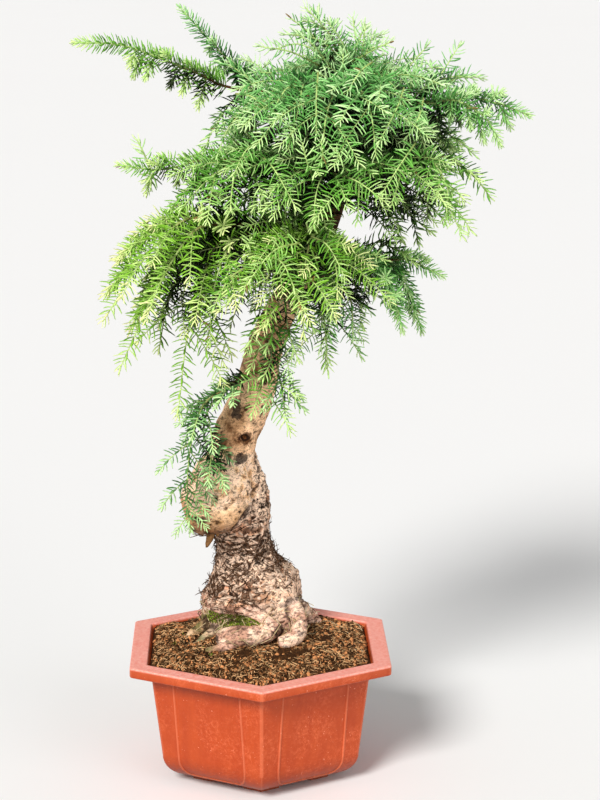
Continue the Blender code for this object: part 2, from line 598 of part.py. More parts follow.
class Space:
    """The straight pieces placed so far, to keep what is placed next clear of them."""

    def __init__(self, room=12000):
        self.start = np.zeros((room, 3))
        self.way = np.zeros((room, 3))
        self.radius = np.zeros(room)
        self.owner = np.zeros(room, int)
        self.count = 0

    def add(self, start, end, radius, owner):
        self.start[self.count] = start
        self.way[self.count] = end - start
        self.radius[self.count] = radius
        self.owner[self.count] = owner
        self.count += 1

    def gap(self, start, end, skip=()):
        """The least distance from this segment to the surface of anything placed by another owner."""
        used = slice(0, self.count)
        base, way, reach = self.start[used], self.way[used], end - start
        back = start - base
        a, e = reach @ reach, np.maximum((way * way).sum(axis=1), 1e-12)
        b, c, f = way @ reach, back @ reach, (way * back).sum(axis=1)
        room = np.maximum(a * e - b * b, 1e-14)
        s = np.clip((b * f - c * e) / room, 0, 1)
        t = np.clip((b * s + f) / e, 0, 1)
        s = np.clip((b * t - c) / a, 0, 1)
        apart = np.linalg.norm(back + s[:, None] * reach - t[:, None] * way, axis=1) - self.radius[used]
        if skip:
            apart = apart[~np.isin(self.owner[used], skip)]
        return apart.min() if len(apart) else 1.0


class Shoot:
    """One green shoot: its line, its whorls and the side shoots that leave them."""

    def __init__(self, number, line, parent=None):
        self.number = number
        self.line = line
        self.parent = parent
        self.length = np.linalg.norm(np.diff(line, axis=0), axis=1).sum()
        last = self.length - BUD_LENGTH
        count = max(2, round((last - WHORL_FIRST) / WHORL_STEP) + 1)
        self.places = np.linspace(WHORL_FIRST, last, count)
        self.branches = {}
        ahead, side, other = frames(line)
        along = np.linspace(0, self.length, len(line))
        self.at = lambda s, values: np.array([np.interp(s, along, values[:, k]) for k in range(3)])
        self.ahead, self.side, self.other = ahead, side, other

    def frame(self, place):
        return [unit(self.at(place, values)) for values in (self.ahead, self.side, self.other)]

    def ring(self, place, whorl):
        share = place / self.length
        radius = SHOOT_RADIUS + share * (SHOOT_TIP_RADIUS - SHOOT_RADIUS)
        _, side, other = self.frame(place)
        return circle(self.at(place, self.line), side, other, radius, 3, whorl * WHORL_TWIST)

    def outward(self, whorl, face):
        """The direction that looks out from the middle of a whorl's face."""
        _, side, other = self.frame(self.places[whorl])
        angle = whorl * WHORL_TWIST + (face + 0.5) * math.tau / 3
        return math.cos(angle) * side + math.sin(angle) * other


def clear_line(points, space, skip, seed, step, tries=40):
    """A smooth line through the points, moved aside where it would come too near another piece."""
    chance = random.Random(seed)
    points = np.array(points)
    for attempt in range(tries):
        moved = points.copy()
        for k in range(1, len(points)):
            reach = 0.0011 * attempt * k / (len(points) - 1)
            moved[k] += [chance.uniform(-reach, reach) for _ in range(3)]
        line = smooth_line(moved, step)
        gaps = [space.gap(a, b, skip) for a, b in zip(line[1:], line[2:])]
        if not gaps or min(gaps) > SHOOT_CLEARANCE + SHOOT_RADIUS:
            return line
    return None


def side_shoots(name, line):
    """The side shoots of a spray, as number, distance along the main shoot, direction and length."""
    ahead, _, _ = frames(line)
    length = np.linalg.norm(np.diff(line, axis=0), axis=1).sum()
    chance = random.Random(name)
    for number in range(int((length - 0.018) / SIDE_SPACING)):
        place = 0.012 + number * SIDE_SPACING
        share = place / length
        stretch = chance.uniform(0.85, 1.15)
        twist = chance.uniform(-0.35, 0.35)
        at = share * (len(line) - 1)
        direction = ahead[round(at)]
        across = np.cross(direction, (0.0, 0.0, 1.0))
        across = unit(across if np.linalg.norm(across) > 0.3 else np.cross(direction, (0.0, 1.0, 0.0)))
        lift = np.cross(across, direction)
        across = across * (-1 if number % 2 else 1) * math.cos(twist) + lift * math.sin(twist)
        way = math.cos(SIDE_LEAN) * direction + math.sin(SIDE_LEAN) * across
        full = min(SIDE_LONGEST, SIDE_SHARE * length) * math.sin(math.pi * (0.22 + 0.70 * share)) ** 0.8
        yield number, place, way, max(SIDE_SHORTEST, full * stretch)


def grow_sprays(limbs, paths):
    """Places every shoot clear of the wood and of the others."""
    space = Space()
    trunk = np.array(TRUNK, float)
    for line in [trunk, np.array(BURL), *limbs.values()]:
        for a, b in zip(line, line[1:]):
            space.add(a[:3], b[:3], max(a[3], b[3]) * 1.1, WOOD_OWNER)
    own = {name: WOOD_OWNER - 1 - k for k, name in enumerate(paths)}
    for name, (start, end, _) in paths.items():
        space.add(start[:3], end, STUB_RADIUS, own[name])
    sprays, number = {}, 0
    for name, (_, _, points) in paths.items():
        line = clear_line(points, space, (own[name],), name, SHOOT_STEP)
        if line is None:
            line = smooth_line(points, SHOOT_STEP)
            print("no clear way for", name)
        shoot = Shoot(number, line)
        for a, b in zip(line, line[1:]):
            space.add(a, b, SHOOT_RADIUS, number)
        sprays[name] = [shoot]
        number += 1
    for name, shoots in sprays.items():
        main = shoots[0]
        for k, place, way, length in side_shoots(name, main.line):
            if k % SIDE_EVERY != 1:
                continue
            whorl = int(np.argmin(abs(main.places - place)))
            face = max(range(3), key=lambda f: main.outward(whorl, f) @ way)
            if whorl >= len(main.places) - 1 or face in main.branches.get(whorl, {}):
                continue
            out = unit(0.7 * main.outward(whorl, face) + way)
            start = main.at(main.places[whorl] + WHORL_LENGTH / 2, main.line)
            sag = np.array((0, 0, -SIDE_SAG * length))
            end = start + way * length + sag
            points = [start + out * 0.005, start + way * length * 0.55 + sag * 0.25, end]
            line = clear_line(points, space, (own[name], main.number), f"{name}{k}", SIDE_STEP, 12)
            if line is None:
                continue
            shoot = Shoot(number, line, main)
            main.branches.setdefault(whorl, {})[face] = shoot
            for a, b in zip(line, line[1:]):
                space.add(a, b, SHOOT_RADIUS, number)
            shoots.append(shoot)
            number += 1
    return sprays, space


def needle_tip(shoot, whorl, face, space, chance):
    """The tip of one needle, or None where no direction is clear."""
    place = shoot.places[whorl] + WHORL_LENGTH / 2
    share = min(1.0, place / shoot.length)
    ahead, side, other = shoot.frame(place)
    last = whorl == len(shoot.places) - 1
    lean = NEEDLE_TIP_LEAN if last else NEEDLE_LEAN
    full = NEEDLE_LENGTH * (1 - (1 - NEEDLE_TIP_SHARE) * share**2) * chance.uniform(0.88, 1.08)
    for turn, tilt, size in ((0, 0, 1), (0.2, 0, 1), (-0.2, 0, 1), (0, -0.25, 1), (0, 0.25, 1),
                             (0.25, -0.2, 0.85), (-0.25, -0.2, 0.85), (0, -0.3, 0.75), (0, 0.3, 0.7)):
        angle = whorl * WHORL_TWIST + (face + 0.5) * math.tau / 3 + turn
        out = math.cos(angle) * side + math.sin(angle) * other
        start = shoot.at(place, shoot.line) + out * SHOOT_RADIUS / 2
        way = math.cos(lean + tilt) * ahead + math.sin(lean + tilt) * out
        tip = start + way * full * size
        own = (shoot.number, NEEDLE_OWNER + shoot.number)
        if space.gap(start + way * NEEDLE_ROOT, tip, own) > NEEDLE_CLEARANCE:
            return start, tip
    return None


def bridge(low, high, points, faces):
    """Triangles between two rings of point numbers that both run anticlockwise seen from ahead."""
    below, above = (np.array([points[k] for k in ring]) for ring in (low, high))
    axis = unit(above.mean(axis=0) - below.mean(axis=0))
    side = below[0] - below.mean(axis=0)
    side = unit(side - axis * (side @ axis))
    other = np.cross(axis, side)

    def turns(ring):
        spread = ring - ring.mean(axis=0)
        angles = np.arctan2(spread @ other, spread @ side)
        first = int(np.argmin(abs(angles)))
        angles = np.unwrap(np.roll(angles, -first))
        return first, [*angles, angles[0] + math.tau]

    start, low_turns = turns(below)
    low = low[start:] + low[:start + 1]
    start, high_turns = turns(above)
    high = high[start:] + high[:start + 1]
    i = j = 0
    while i < len(low) - 1 or j < len(high) - 1:
        a, b = low[i], high[j]
        if j == len(high) - 1 or (i < len(low) - 1 and low_turns[i + 1] <= high_turns[j + 1]):
            i += 1
            faces.append((a, low[i], b))
        else:
            j += 1
            faces.append((a, high[j], b))


def spin(ring, points, ahead):
    """The ring's point numbers, in the order that runs anticlockwise seen from ahead."""
    centre = sum(points[k] for k in ring) / len(ring)
    turn = np.cross(points[ring[0]] - centre, points[ring[1]] - centre)
    return ring if turn @ ahead > 0 else ring[::-1]


def build_shoot(shoot, entry, space, chance, points, faces):
    """Adds a shoot's triangles. The entry is the ring of point numbers it grows from, or None."""
    def add_ring(ring):
        points.extend(ring)
        return list(range(len(points) - len(ring), len(points)))

    below = None
    if entry is None:
        below = add_ring(shoot.ring(0.0, 0))
        faces.append(tuple(below[::-1]))
    else:
        start = add_ring(shoot.ring(0.0, 0))
        ahead = shoot.frame(0.0)[0]
        bridge(spin(entry, points, ahead), spin(start, points, ahead), points, faces)
        below = start
    for whorl, place in enumerate(shoot.places):
        low = add_ring(shoot.ring(place, whorl))
        high = add_ring(shoot.ring(place + WHORL_LENGTH, whorl))
        bridge(below, low, points, faces)
        for face in range(3):
            n = (face + 1) % 3
            quad = [low[face], low[n], high[n], high[face]]
            branch = shoot.branches.get(whorl, {}).get(face)
            if branch:
                build_shoot(branch, quad, space, chance, points, faces)
                continue
            needle = needle_tip(shoot, whorl, face, space, chance)
            if needle is None:
                faces.extend([tuple(quad[:3]), (quad[0], quad[2], quad[3])])
                continue
            space.add(*needle, NEEDLE_HALF_WIDTH, NEEDLE_OWNER + shoot.number)
            points.append(needle[1])
            tip = len(points) - 1
            for k in range(4):
                faces.append((quad[k], quad[(k + 1) % 4], tip))
        below = high
    last = shoot.places[-1] + WHORL_LENGTH
    points.append(shoot.at(last, shoot.line) + shoot.frame(last)[0] * BUD_LENGTH)
    for k in range(3):
        faces.append((below[k], below[(k + 1) % 3], len(points) - 1))


def spray_look(name):
    if name.startswith(("low_left", "low_front", "small")):
        return "pale_green"
    return "blue_green" if name.startswith(("top", "high", "long")) else "green"


def make_sprays(limbs, paths):
    sprays, space = grow_sprays(limbs, paths)
    for name, shoots in sprays.items():
        points, faces = [], []
        build_shoot(shoots[0], None, space, random.Random("needles " + name), points, faces)
        add_object("spray_" + name, points, faces, spray_look(name), smooth=False)


def clear_scene():
    for obj in list(bpy.data.objects):
        bpy.data.objects.remove(obj)


def main():
    clear_scene()
    limbs = limb_lines()
    paths = spray_paths(limbs)
    make_pot()
    make_soil()
    make_trunk(limbs, paths)
    make_sprays(limbs, paths)
    plant = bpy.data.objects.new("plant", None)
    for obj in bpy.context.collection.objects:
        obj.parent = plant
    bpy.context.collection.objects.link(plant)
    plant.location = Vector(POT_PLACE)


main()
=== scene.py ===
"""The looks of the hoop pine bonsai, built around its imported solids.

Metres, +Z up. Only the tables whose heading says so are in millimetres. Places are measured from the
pot's axis at ground level, as in the part's source, and each piece is moved onto that axis when it is
added.
"""

import itertools
import math
import random
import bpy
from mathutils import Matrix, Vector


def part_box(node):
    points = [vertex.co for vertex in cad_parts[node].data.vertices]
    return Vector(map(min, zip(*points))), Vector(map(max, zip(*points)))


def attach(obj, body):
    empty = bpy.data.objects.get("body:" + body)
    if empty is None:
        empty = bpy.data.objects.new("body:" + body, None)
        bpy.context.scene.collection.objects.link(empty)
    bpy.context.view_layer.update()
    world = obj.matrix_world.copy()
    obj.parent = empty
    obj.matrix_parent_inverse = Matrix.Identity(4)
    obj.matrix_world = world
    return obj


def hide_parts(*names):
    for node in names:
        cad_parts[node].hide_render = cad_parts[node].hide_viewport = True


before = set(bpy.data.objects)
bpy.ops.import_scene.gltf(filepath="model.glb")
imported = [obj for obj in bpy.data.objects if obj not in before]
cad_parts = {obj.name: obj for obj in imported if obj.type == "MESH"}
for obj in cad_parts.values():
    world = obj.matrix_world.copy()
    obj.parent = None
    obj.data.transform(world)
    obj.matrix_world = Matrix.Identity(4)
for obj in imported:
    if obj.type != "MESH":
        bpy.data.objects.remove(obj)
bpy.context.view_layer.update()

import zlib

import bpy
import numpy as np


def metres(rows):
    """Millimetres as metres, through nested rows."""
    return tuple(metres(row) if isinstance(row, (tuple, list)) else round(row / 1000, 6) for row in rows)


POT_LOW, POT_HIGH = (np.array(corner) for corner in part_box("pot"))
AXIS = np.array(((POT_LOW[0] + POT_HIGH[0]) / 2, (POT_LOW[1] + POT_HIGH[1]) / 2, 0.0))
GOLDEN = math.radians(137.5)
FLAT = math.cos(math.radians(30))  # how far out a hexagon's sides are, as a share of its corners
FLOOR_REACH = 60.0

# Pot, with corner radii of the hexagon at each height
RIM_RADIUS = 0.340 / 2 / FLAT
RIM_TOP = 0.171
RIM_EDGE = 0.0135
RIM_LOW = RIM_TOP - RIM_EDGE
RIM_WIDTH = 0.026
RIM_FOOT_ROUND = 0.0022
RIM_TOP_ROUND = 0.0018
LIP_ROUND = 0.0016
BODY_ROUNDING = 0.006  # of the hexagon's upright corners
INNER_ROUNDING = 0.005
BODY_TOP_RADIUS = 0.165
BODY_LOW_RADIUS = 0.1495
BODY_LOW = 0.043
BASE_RADIUS = 0.108
BASE_BOTTOM = 0.009
WALL = 0.003
FOOT_RADIUS = 0.1035
FOOT_HALF_WIDTH = 0.0235
FOOT_INNER = 0.070
FOOT_STEP = 0.0045
PANEL_SHARE = 0.30  # half a panel's width, as a share of the body's top radius
RIDGE_WIDTH = 0.0022
RIDGE_HEIGHT = 0.0011

SOIL_EDGE = 0.1650
SOIL_FOOT = 0.12
SOIL_CLEARANCE = 0.0006
SOIL_SIDES = 36  # points to each of its six corners
WALL_LIMIT = 0.98  # of the way to the wall: no crumb or fibre lies further out
SOIL_MOUND = 0.022
SOIL_LUMPS = 0.0022
CRUMBS = ((4300, 0.0010, 0.0024, 3), (560, 0.0024, 0.0042, 4))  # count, smallest, largest and seed
FIBRES = (4200, 0.003, 0.011, 0.0004, 0.0010, 4, 5)  # count, lengths, radii, points along each and seed
STRAWS = (46, 0.018, 0.048, 0.0003, 0.0006, 7, 6)

# Trunk, burl and roots: x, y, z and radius along each, in millimetres
TRUNK = metres((
    (-8, 28, 140, 58), (-9, 31, 180, 67), (-10, 32, 207, 66),
    (-10, 33, 233, 64.5), (-13, 31, 249, 56), (-16.5, 28, 268, 43.5),
    (-19, 24, 290, 36.5), (-22.5, 19, 312, 33.5), (-21.5, 13, 350, 36.5),
    (-23, 8, 380, 34), (-31, 3, 405, 31), (-37, 0, 428, 29),
    (-30, 0, 457, 30), (-17, 0, 487, 28), (-4, 0, 522, 26),
    (6, 0, 568, 23.5), (21, 4, 602, 21), (40, 10, 640, 19.5),
    (61, 15, 682, 17.5), (84, 15, 722, 15), (100, 10, 764, 13),
    (110, 2, 812, 10.5), (114, 0, 862, 8), (112, 0, 912, 5.5),
))
BURL = metres((
    (-34, -4, 438, 24), (-40, -9, 425, 31), (-47, -14, 407, 38), (-53, -19, 388, 43.5),
    (-55.5, -21, 371, 45.5), (-55, -21, 354, 42), (-53, -20, 344, 33), (-52, -19, 339, 16),
))
ROOTS = metres((
    ((20, -18, 196, 10), (10, -40, 196.5, 11), (-8, -48, 197, 13), (-30, -50, 196.5, 14.2),
     (-48, -48, 195, 12.5), (-56.5, -46, 194, 8)),
    ((-16, -34, 188, 8), (-34, -56, 187, 6.5), (-52, -64, 186, 5.5), (-72, -61, 182, 3)),
    ((34, 6, 228, 16), (50, -16, 214, 11.8), (51, -38, 198, 10.8), (38, -50, 190, 10.8), (24, -53, 188, 8.5)),
    ((-44, 16, 204, 17), (-70, 10, 194, 10), (-86, 4, 187, 6.5), (-100, 0, 178, 3)),
    ((-40, 0, 202, 16), (-60, -12, 191, 9), (-76, -22, 184, 5.5), (-86, -28, 176, 3)),
    ((-53, -26, 239, 10), (-32, -34, 234, 9), (-5, -38, 224, 8.5), (21, -42, 205, 8)),
    ((40, 35, 212, 20), (68, 48, 192, 10), (84, 54, 178, 5)),
    ((12, 76, 216, 20), (32, 100, 192, 10), (30, 118, 176, 5)),
    ((-30, 72, 212, 20), (-52, 96, 190, 10), (-66, 108, 176, 5)),
))

TRUNK_POINTS_BELOW = 1  # the solid's trunk has this many more points at its foot
SEAM = (-0.037, 0.0, 0.428, 0.029)  # the crease round the neck is just above this point
BURL_CUT = (-0.024, 0.362)  # x and z of a place on the slanting edge of the burl at its lower right
FRONT_ROOTS = 6
ROOTS_TOP = 0.235

# Heights between which the bark changes from one kind to another
FLARE_TOP = (0.318, 0.345)
SHAGGY_FROM = (0.22, 0.26)
BURL_FOOT = (0.322, 0.332)
STRIP_FOOT = (0.322, 0.340)
NECK = (0.425, 0.440)
CROWN_FOOT = (0.62, 0.75)

# What clings to the bark
THREADS = 950
ROOT_STRAWS = 130
FLAKES = 1100
MOSS_BLADES = 2600
MOSS_ON_WOOD = ((-0.080, -0.043, 0.2035), (0.008, -0.002, 0.2185))  # its lowest and highest x, y and z
MOSS_ON_SOIL = ((-0.125, -0.075), (-0.045, 0.030))  # its lowest and highest x and y

# Knot hole and small hole: place, radius and depth
MARKS = (
    ((-0.0195, -0.0290, 0.4600), 0.0066, 0.0060),
    ((-0.0166, -0.0150, 0.2830), 0.0040, 0.0035),
)

# Grey-black patches: place, half width and half height
STAINS = (
    ((-0.0299, -0.0280, 0.4969), 0.0060, 0.0150),
    ((-0.0251, -0.0320, 0.4325), 0.0105, 0.0062),
    ((-0.0625, -0.0120, 0.4854), 0.0070, 0.0090),
    ((-0.0600, -0.0460, 0.1945), 0.0045, 0.0060),
)

# Torn bark under the burl: place, length, width and twist
FLAPS = (
    ((-0.0680, -0.033, 0.3450), 0.0300, 0.0062, 0.5),
    ((-0.0590, -0.034, 0.3440), 0.0150, 0.0030, -0.8),
)

# Limbs: where each leaves the trunk, as a place in the list of trunk points, then its own places and its
# first and last radius in millimetres
LIMBS = {
    "top": (22.0, ((113, 2, 870), (112, 0, 912), (102, 2, 950)), 6, 3.4),
    "upper_left": (21.4, ((68, -4, 885), (12, -6, 903), (-30, -12, 910)), 7, 3.2),
    "left": (20.3, ((60, -15, 800), (10, -30, 822), (-36, -34, 822)), 6.5, 3),
    "low_left": (18.6, ((26, -30, 712), (-20, -46, 742), (-62, -44, 746)), 7.5, 3.2),
    "low_front": (19.6, ((74, -35, 728), (66, -78, 728)), 6.5, 3.4),
    "front": (20.6, ((106, -45, 800), (110, -92, 822)), 6, 3.2),
    "high_front": (22.2, ((108, -45, 892), (95, -95, 908)), 5.5, 3),
    "high_right": (21.6, ((150, -5, 866), (190, -15, 888), (222, -22, 892)), 6, 3),
    "right": (20.8, ((140, -26, 800), (182, -50, 824), (212, -58, 828)), 6, 3),
    "low_right": (17.8, ((82, 4, 668), (125, 4, 690), (160, 2, 688)), 6.8, 3),
    "high_back": (22.0, ((112, 50, 888), (100, 100, 902)), 5.5, 3),
    "right_back": (20.9, ((150, 52, 806), (190, 92, 822)), 6, 3),
    "left_back": (20.5, ((56, 58, 796), (0, 92, 816)), 6.2, 3),
    "low_back": (18.9, ((70, 66, 704), (66, 110, 712)), 6.2, 3),
    "low_left_back": (18.3, ((2, 46, 690), (-50, 70, 718)), 6.2, 3),
    "small_low": (15.3, ((-12, -38, 546),), 4.8, 2.8),
    "small_right": (16.9, ((34, -30, 606),), 4.2, 2.6),
}

# Sprays of each limb: how far along the limb each grows, and its places in millimetres. Their names are
# the limb's name and a number, apart from those of the upper left limb
UPPER_LEFT_NAMES = ("long_left", "high_left", "shoulder_left", "shoulder_front")
SPRAYS = {
    "top": (
        (0.80, (78, -6, 968), (42, -4, 997)),
        (1.00, (84, 12, 985), (60, 18, 1010)),
        (0.70, (126, 24, 958), (122, 36, 996)),
        (0.56, (132, -30, 944), (144, -46, 980)),
    ),
    "upper_left": (
        (1.00, (-68, -20, 926), (-115, -28, 946), (-168, -30, 965), (-229, -30, 969)),
        (0.84, (-30, 26, 935), (-62, 36, 968), (-98, 40, 1008)),
        (0.62, (4, -58, 898), (-34, -84, 872), (-52, -94, 832)),
        (0.36, (56, -52, 922), (26, -104, 905), (8, -140, 862)),
    ),
    "left": (
        (1.00, (-76, -44, 822), (-122, -50, 812), (-176, -50, 818)),
        (0.80, (-30, -78, 824), (-66, -96, 802), (-98, -102, 768)),
        (0.55, (-6, -98, 838), (-30, -132, 812), (-36, -150, 772)),
    ),
    "low_left": (
        (0.94, (-98, -40, 754), (-148, -36, 718), (-190, -36, 652)),
        (0.84, (-94, -82, 752), (-144, -98, 706), (-196, -104, 628)),
        (0.74, (-80, -100, 742), (-128, -112, 670), (-176, -112, 568)),
        (1.00, (-90, -42, 706), (-116, -50, 640), (-128, -52, 580)),
        (0.64, (-56, -82, 716), (-88, -88, 620), (-104, -88, 502)),
        (0.50, (-36, -92, 722), (-58, -112, 664), (-62, -118, 602)),
    ),
    "low_front": (
        (0.70, (34, -104, 738), (2, -130, 714), (-24, -142, 668)),
        (0.84, (40, -92, 708), (16, -140, 684), (6, -154, 632)),
        (1.00, (62, -120, 728), (52, -156, 684), (54, -160, 616)),
        (0.55, (83, -98, 726), (94, -132, 702), (96, -144, 662)),
    ),
    "front": (
        (0.72, (70, -118, 834), (38, -152, 812), (16, -168, 768)),
        (0.88, (92, -140, 836), (70, -174, 806), (64, -184, 756)),
        (1.00, (118, -130, 832), (120, -168, 808), (118, -182, 764)),
    ),
    "high_front": (
        (0.66, (58, -96, 924), (48, -156, 900), (34, -174, 850)),
        (1.00, (92, -134, 916), (80, -172, 890), (74, -188, 838)),
        (0.86, (120, -126, 922), (134, -162, 894), (140, -176, 842)),
        (0.50, (136, -76, 932), (164, -112, 922), (184, -140, 882)),
    ),
    "high_right": (
        (0.62, (190, 10, 930), (218, 18, 962)),
        (0.84, (232, 12, 922), (258, 20, 962)),
        (1.00, (266, -36, 900), (304, -46, 892), (341, -48, 878)),
        (0.92, (248, -64, 898), (282, -82, 878), (300, -88, 846)),
    ),
    "right": (
        (1.00, (246, -64, 822), (272, -66, 802), (292, -64, 776)),
        (0.86, (216, -100, 826), (232, -116, 796), (230, -120, 754)),
        (0.66, (172, -102, 832), (172, -142, 818), (160, -166, 782)),
    ),
    "low_right": (
        (1.00, (192, -6, 690), (238, -14, 668)),
        (0.90, (182, 34, 672), (202, 42, 630), (216, 44, 584)),
        (0.80, (150, -44, 688), (170, -62, 656), (182, -66, 606)),
        (0.62, (111, -36, 678), (118, -52, 637), (120, -54, 594)),
        (0.50, (96, 30, 648), (92, 36, 600), (88, 38, 544)),
    ),
    "high_back": (
        (0.70, (58, 104, 924), (48, 156, 906), (30, 174, 860)),
        (1.00, (100, 140, 914), (104, 178, 890), (108, 194, 842)),
        (0.55, (150, 86, 926), (186, 118, 912), (208, 138, 868)),
    ),
    "right_back": (
        (0.72, (214, 66, 836), (248, 84, 826), (274, 92, 790)),
        (1.00, (208, 126, 830), (216, 154, 806), (216, 168, 758)),
    ),
    "left_back": (
        (0.72, (-9, 64, 840), (-25, 88, 852), (-38, 108, 821)),
        (1.00, (-22, 124, 818), (-44, 150, 792), (-54, 162, 740)),
    ),
    "low_back": (
        (0.80, (34, 136, 720), (12, 164, 690), (2, 176, 634)),
        (1.00, (70, 148, 706), (76, 176, 668), (78, 186, 612)),
        (0.62, (102, 110, 692), (133, 134, 663), (150, 142, 618)),
    ),
    "low_left_back": (
        (0.80, (-76, 56, 732), (-116, 60, 698), (-142, 62, 634)),
        (1.00, (-72, 98, 712), (-92, 120, 672), (-100, 128, 612)),
    ),
    "small_low": (
        (0.80, (-40, -60, 533), (-72, -72, 513), (-89, -78, 456),
         (-93, -80, 391), (-89, -80, 347)),
        (1.00, (-43, -60, 532), (-70, -74, 497), (-66, -80, 457), (-41, -88, 411)),
    ),
    "small_right": (
        (1.00, (24, -56, 566), (29, -62, 531), (34, -64, 492)),
    ),
}
STUB_LENGTH = 0.010
STRAIGHT_START = 0.008
SHOOT_RADIUS = 0.0013
SHOOT_TIP_RADIUS = 0.0007
SIDE_RADIUS = 0.0008
SIDE_SPACING = 0.012
SIDE_LEAN = math.radians(48)
SIDE_LONGEST = 0.062
SIDE_SHORTEST = 0.022
SIDE_SHARE = 0.46
SIDE_SAG = 0.24
SHOOT_STEP = 0.007  # between the places of a side shoot's line
STEM_SIDES = 4

# Needles
NEEDLE_STEP = 0.0024  # along a shoot
BRUSH_STEP = 0.0009
BRUSH_SHARE = 0.80  # of the needles' length
BRUSH_SWELL = 0.50  # more length at the shoot's base
SMALL_SHARE = 0.80
SMALL_STEP = 0.0022
BRUSHES = ("long_left", "high_left", "left_1", "high_right_3", "high_right_4", "low_right_1",
           "low_right_2", "low_right_3")  # round, close and even
NEEDLE_LENGTH = 0.0186
NEEDLE_WIDTH = 0.0029
NEEDLE_STAGES = ((0.0, 0.7), (0.45, 1.0), (0.86, 0.72))  # share of the length, share of the width
INNER_STAGES = ((0.0, 0.8), (0.62, 1.0))
RANKS = np.radians((4, 176, 28, 152, -26, 206, 66, 114))  # round the shoot from its right to its outer side
NEEDLE_TONES = (("205C0C", "206434", "34740C"),  # plain, bluish and golden: first old needles,
                ("6AB634", "70BE74", "8ECC3A"),  # then grown ones
                ("D2F69C", "D4FAC4", "EEFEAC"))  # and young ones
BLUE_SHARES = (("low_right", 0.5), ("small", 0.55), ("long_left", 0.15))
CROWN_AXIS = np.array(((0.02, 0.005, 0.60), (0.115, 0.0, 0.95)))
BARE_START = 0.009
YOUNG = 0.026  # the length of a shoot's soft end

# Shade by how many shoots lie outside a place
CELL = 0.012  # the cells in which they are counted
SHADE_FROM = 0.2
SHADE_FULL = 1.5

# Inner shoots fill the crown round its limbs and the top of its trunk
INNER_SPACING = 0.0110
INNER_REACH = (0.070, 0.115)
INNER_LEAN = math.radians(58)
FAN = 6  # more shoots at each limb's end
FAN_REACH = (0.055, 0.085)
SHORT_INNER = 0.55
SHORT_FAN = 0.45
SHORT_FANS = ("upper_left", "left", "left_back", "low_right")

# Side shoots, by the kind of spray
SIDES_UP_TO = 0.60  # the outer part of a main shoot carries needles alone
SIDE_STRETCH = 1.3
SMALL_STRETCH = 0.78
SHORT_SIDES = ("shoulder_left", "left_3", "right_1", "right_2", "right_back_1", "right_back_2")
TUFT_LENGTH = 0.027  # side shoots of the brush-like shoots
TUFTS_UP_TO = 0.66
SIDES_DEEP = 0.205  # no side shoot reaches further to the front or back

# The camera's place from the pot's axis, its turn and its lens
EYE = (-0.0344, -2.9877, 1.1764)
EYE_TURN = (1.3493, 0.0, -0.0295)
EYE_LENS = 105.55

# The gap through the crown as the camera sees it: its middle, and half its width and height
GAP = (0.125, 0.000, 0.731)
GAP_SIZE = (0.026, 0.021)

# Shoots that lie over the front of the crown: three places each, in millimetres
FRONT_SHOOTS = metres((
    (136, -150, 953, 121, -165, 943, 105, -172, 919), (71, -155, 942, 68, -178, 913, 68, -180, 870),
    (176, -135, 921, 165, -160, 897, 143, -172, 858), (-5, -120, 898, 18, -155, 894, 41, -172, 871),
    (89, -165, 821, 118, -185, 813, 152, -188, 788), (190, -140, 854, 172, -165, 834, 144, -176, 792),
    (64, -160, 817, 56, -180, 839, 51, -186, 861), (85, -160, 822, 77, -184, 842, 73, -190, 863),
    (109, -165, 818, 99, -186, 835, 90, -190, 853), (6, -140, 837, 20, -168, 823, 45, -178, 778),
    (63, -150, 742, 83, -172, 733, 104, -178, 694), (49, -150, 734, 15, -170, 726, -21, -172, 680),
    (10, -150, 718, 30, -172, 709, 52, -176, 653), (-28, -110, 912, -6, -135, 909, 20, -150, 883),
    (202, -110, 906, 194, -132, 884, 176, -142, 856), (24, -150, 710, 50, -140, 661, 68, -120, 618),
    (3, -120, 658, -4, -110, 624, -17, -95, 586), (32, -110, 656, 36, -100, 616, 49, -90, 574),
    (15, -120, 650, 17, -105, 617, 8, -85, 587), (80, -60, 647, 85, -50, 599, 88, -45, 550),
    (49, -150, 710, 71, -150, 693, 83, -140, 654), (-19, -145, 702, -39, -150, 688, -59, -145, 648),
    (46, -110, 924, 30, -140, 917, 11, -150, 884), (4, -110, 855, -16, -130, 845, -33, -135, 812),
    (110, -20, 943, 76, -20, 971, 33, -20, 978), (118, 20, 942, 93, 30, 975, 62, 30, 990),
    (116, -30, 946, 102, -40, 974, 85, -50, 997), (118, 10, 943, 130, 10, 971, 137, 0, 989),
    (118, -30, 944, 149, -50, 963, 166, -60, 971), (77, -50, 941, 40, -60, 959, 0, -60, 966),
    (89, -60, 941, 66, -80, 970, 46, -90, 983), (-136, -50, 814, -144, -50, 834, -152, -50, 850),
    (94, 60, 939, 56, 70, 959, 20, 80, 951), (18, -45, 548, -12, -62, 544, -40, -66, 534),
    (4, -50, 536, -3, -64, 519, -10, -66, 499), (14, -50, 549, 34, -68, 534, 52, -72, 522),
    (16, -50, 517, 29, -66, 499, 41, -70, 476), (6, -60, 598, -3, -70, 579, -12, -72, 560),
    (16, -60, 589, 14, -68, 568, 3, -70, 545),
))


def unit(vector):
    return vector / np.linalg.norm(vector)


def units(vectors):
    return vectors / np.linalg.norm(vectors, axis=-1, keepdims=True)


def distances(line):
    """How far along a line each of its points lies."""
    return np.concatenate([[0], np.cumsum(np.linalg.norm(np.diff(line[:, :3], axis=0), axis=1))])


def length_of(line):
    return np.linalg.norm(np.diff(line, axis=0), axis=1).sum()


def sample(values, along, places):
    """Each column of a table, read at some places along it."""
    return np.stack([np.interp(places, along, values[:, k]) for k in range(values.shape[1])], axis=-1)


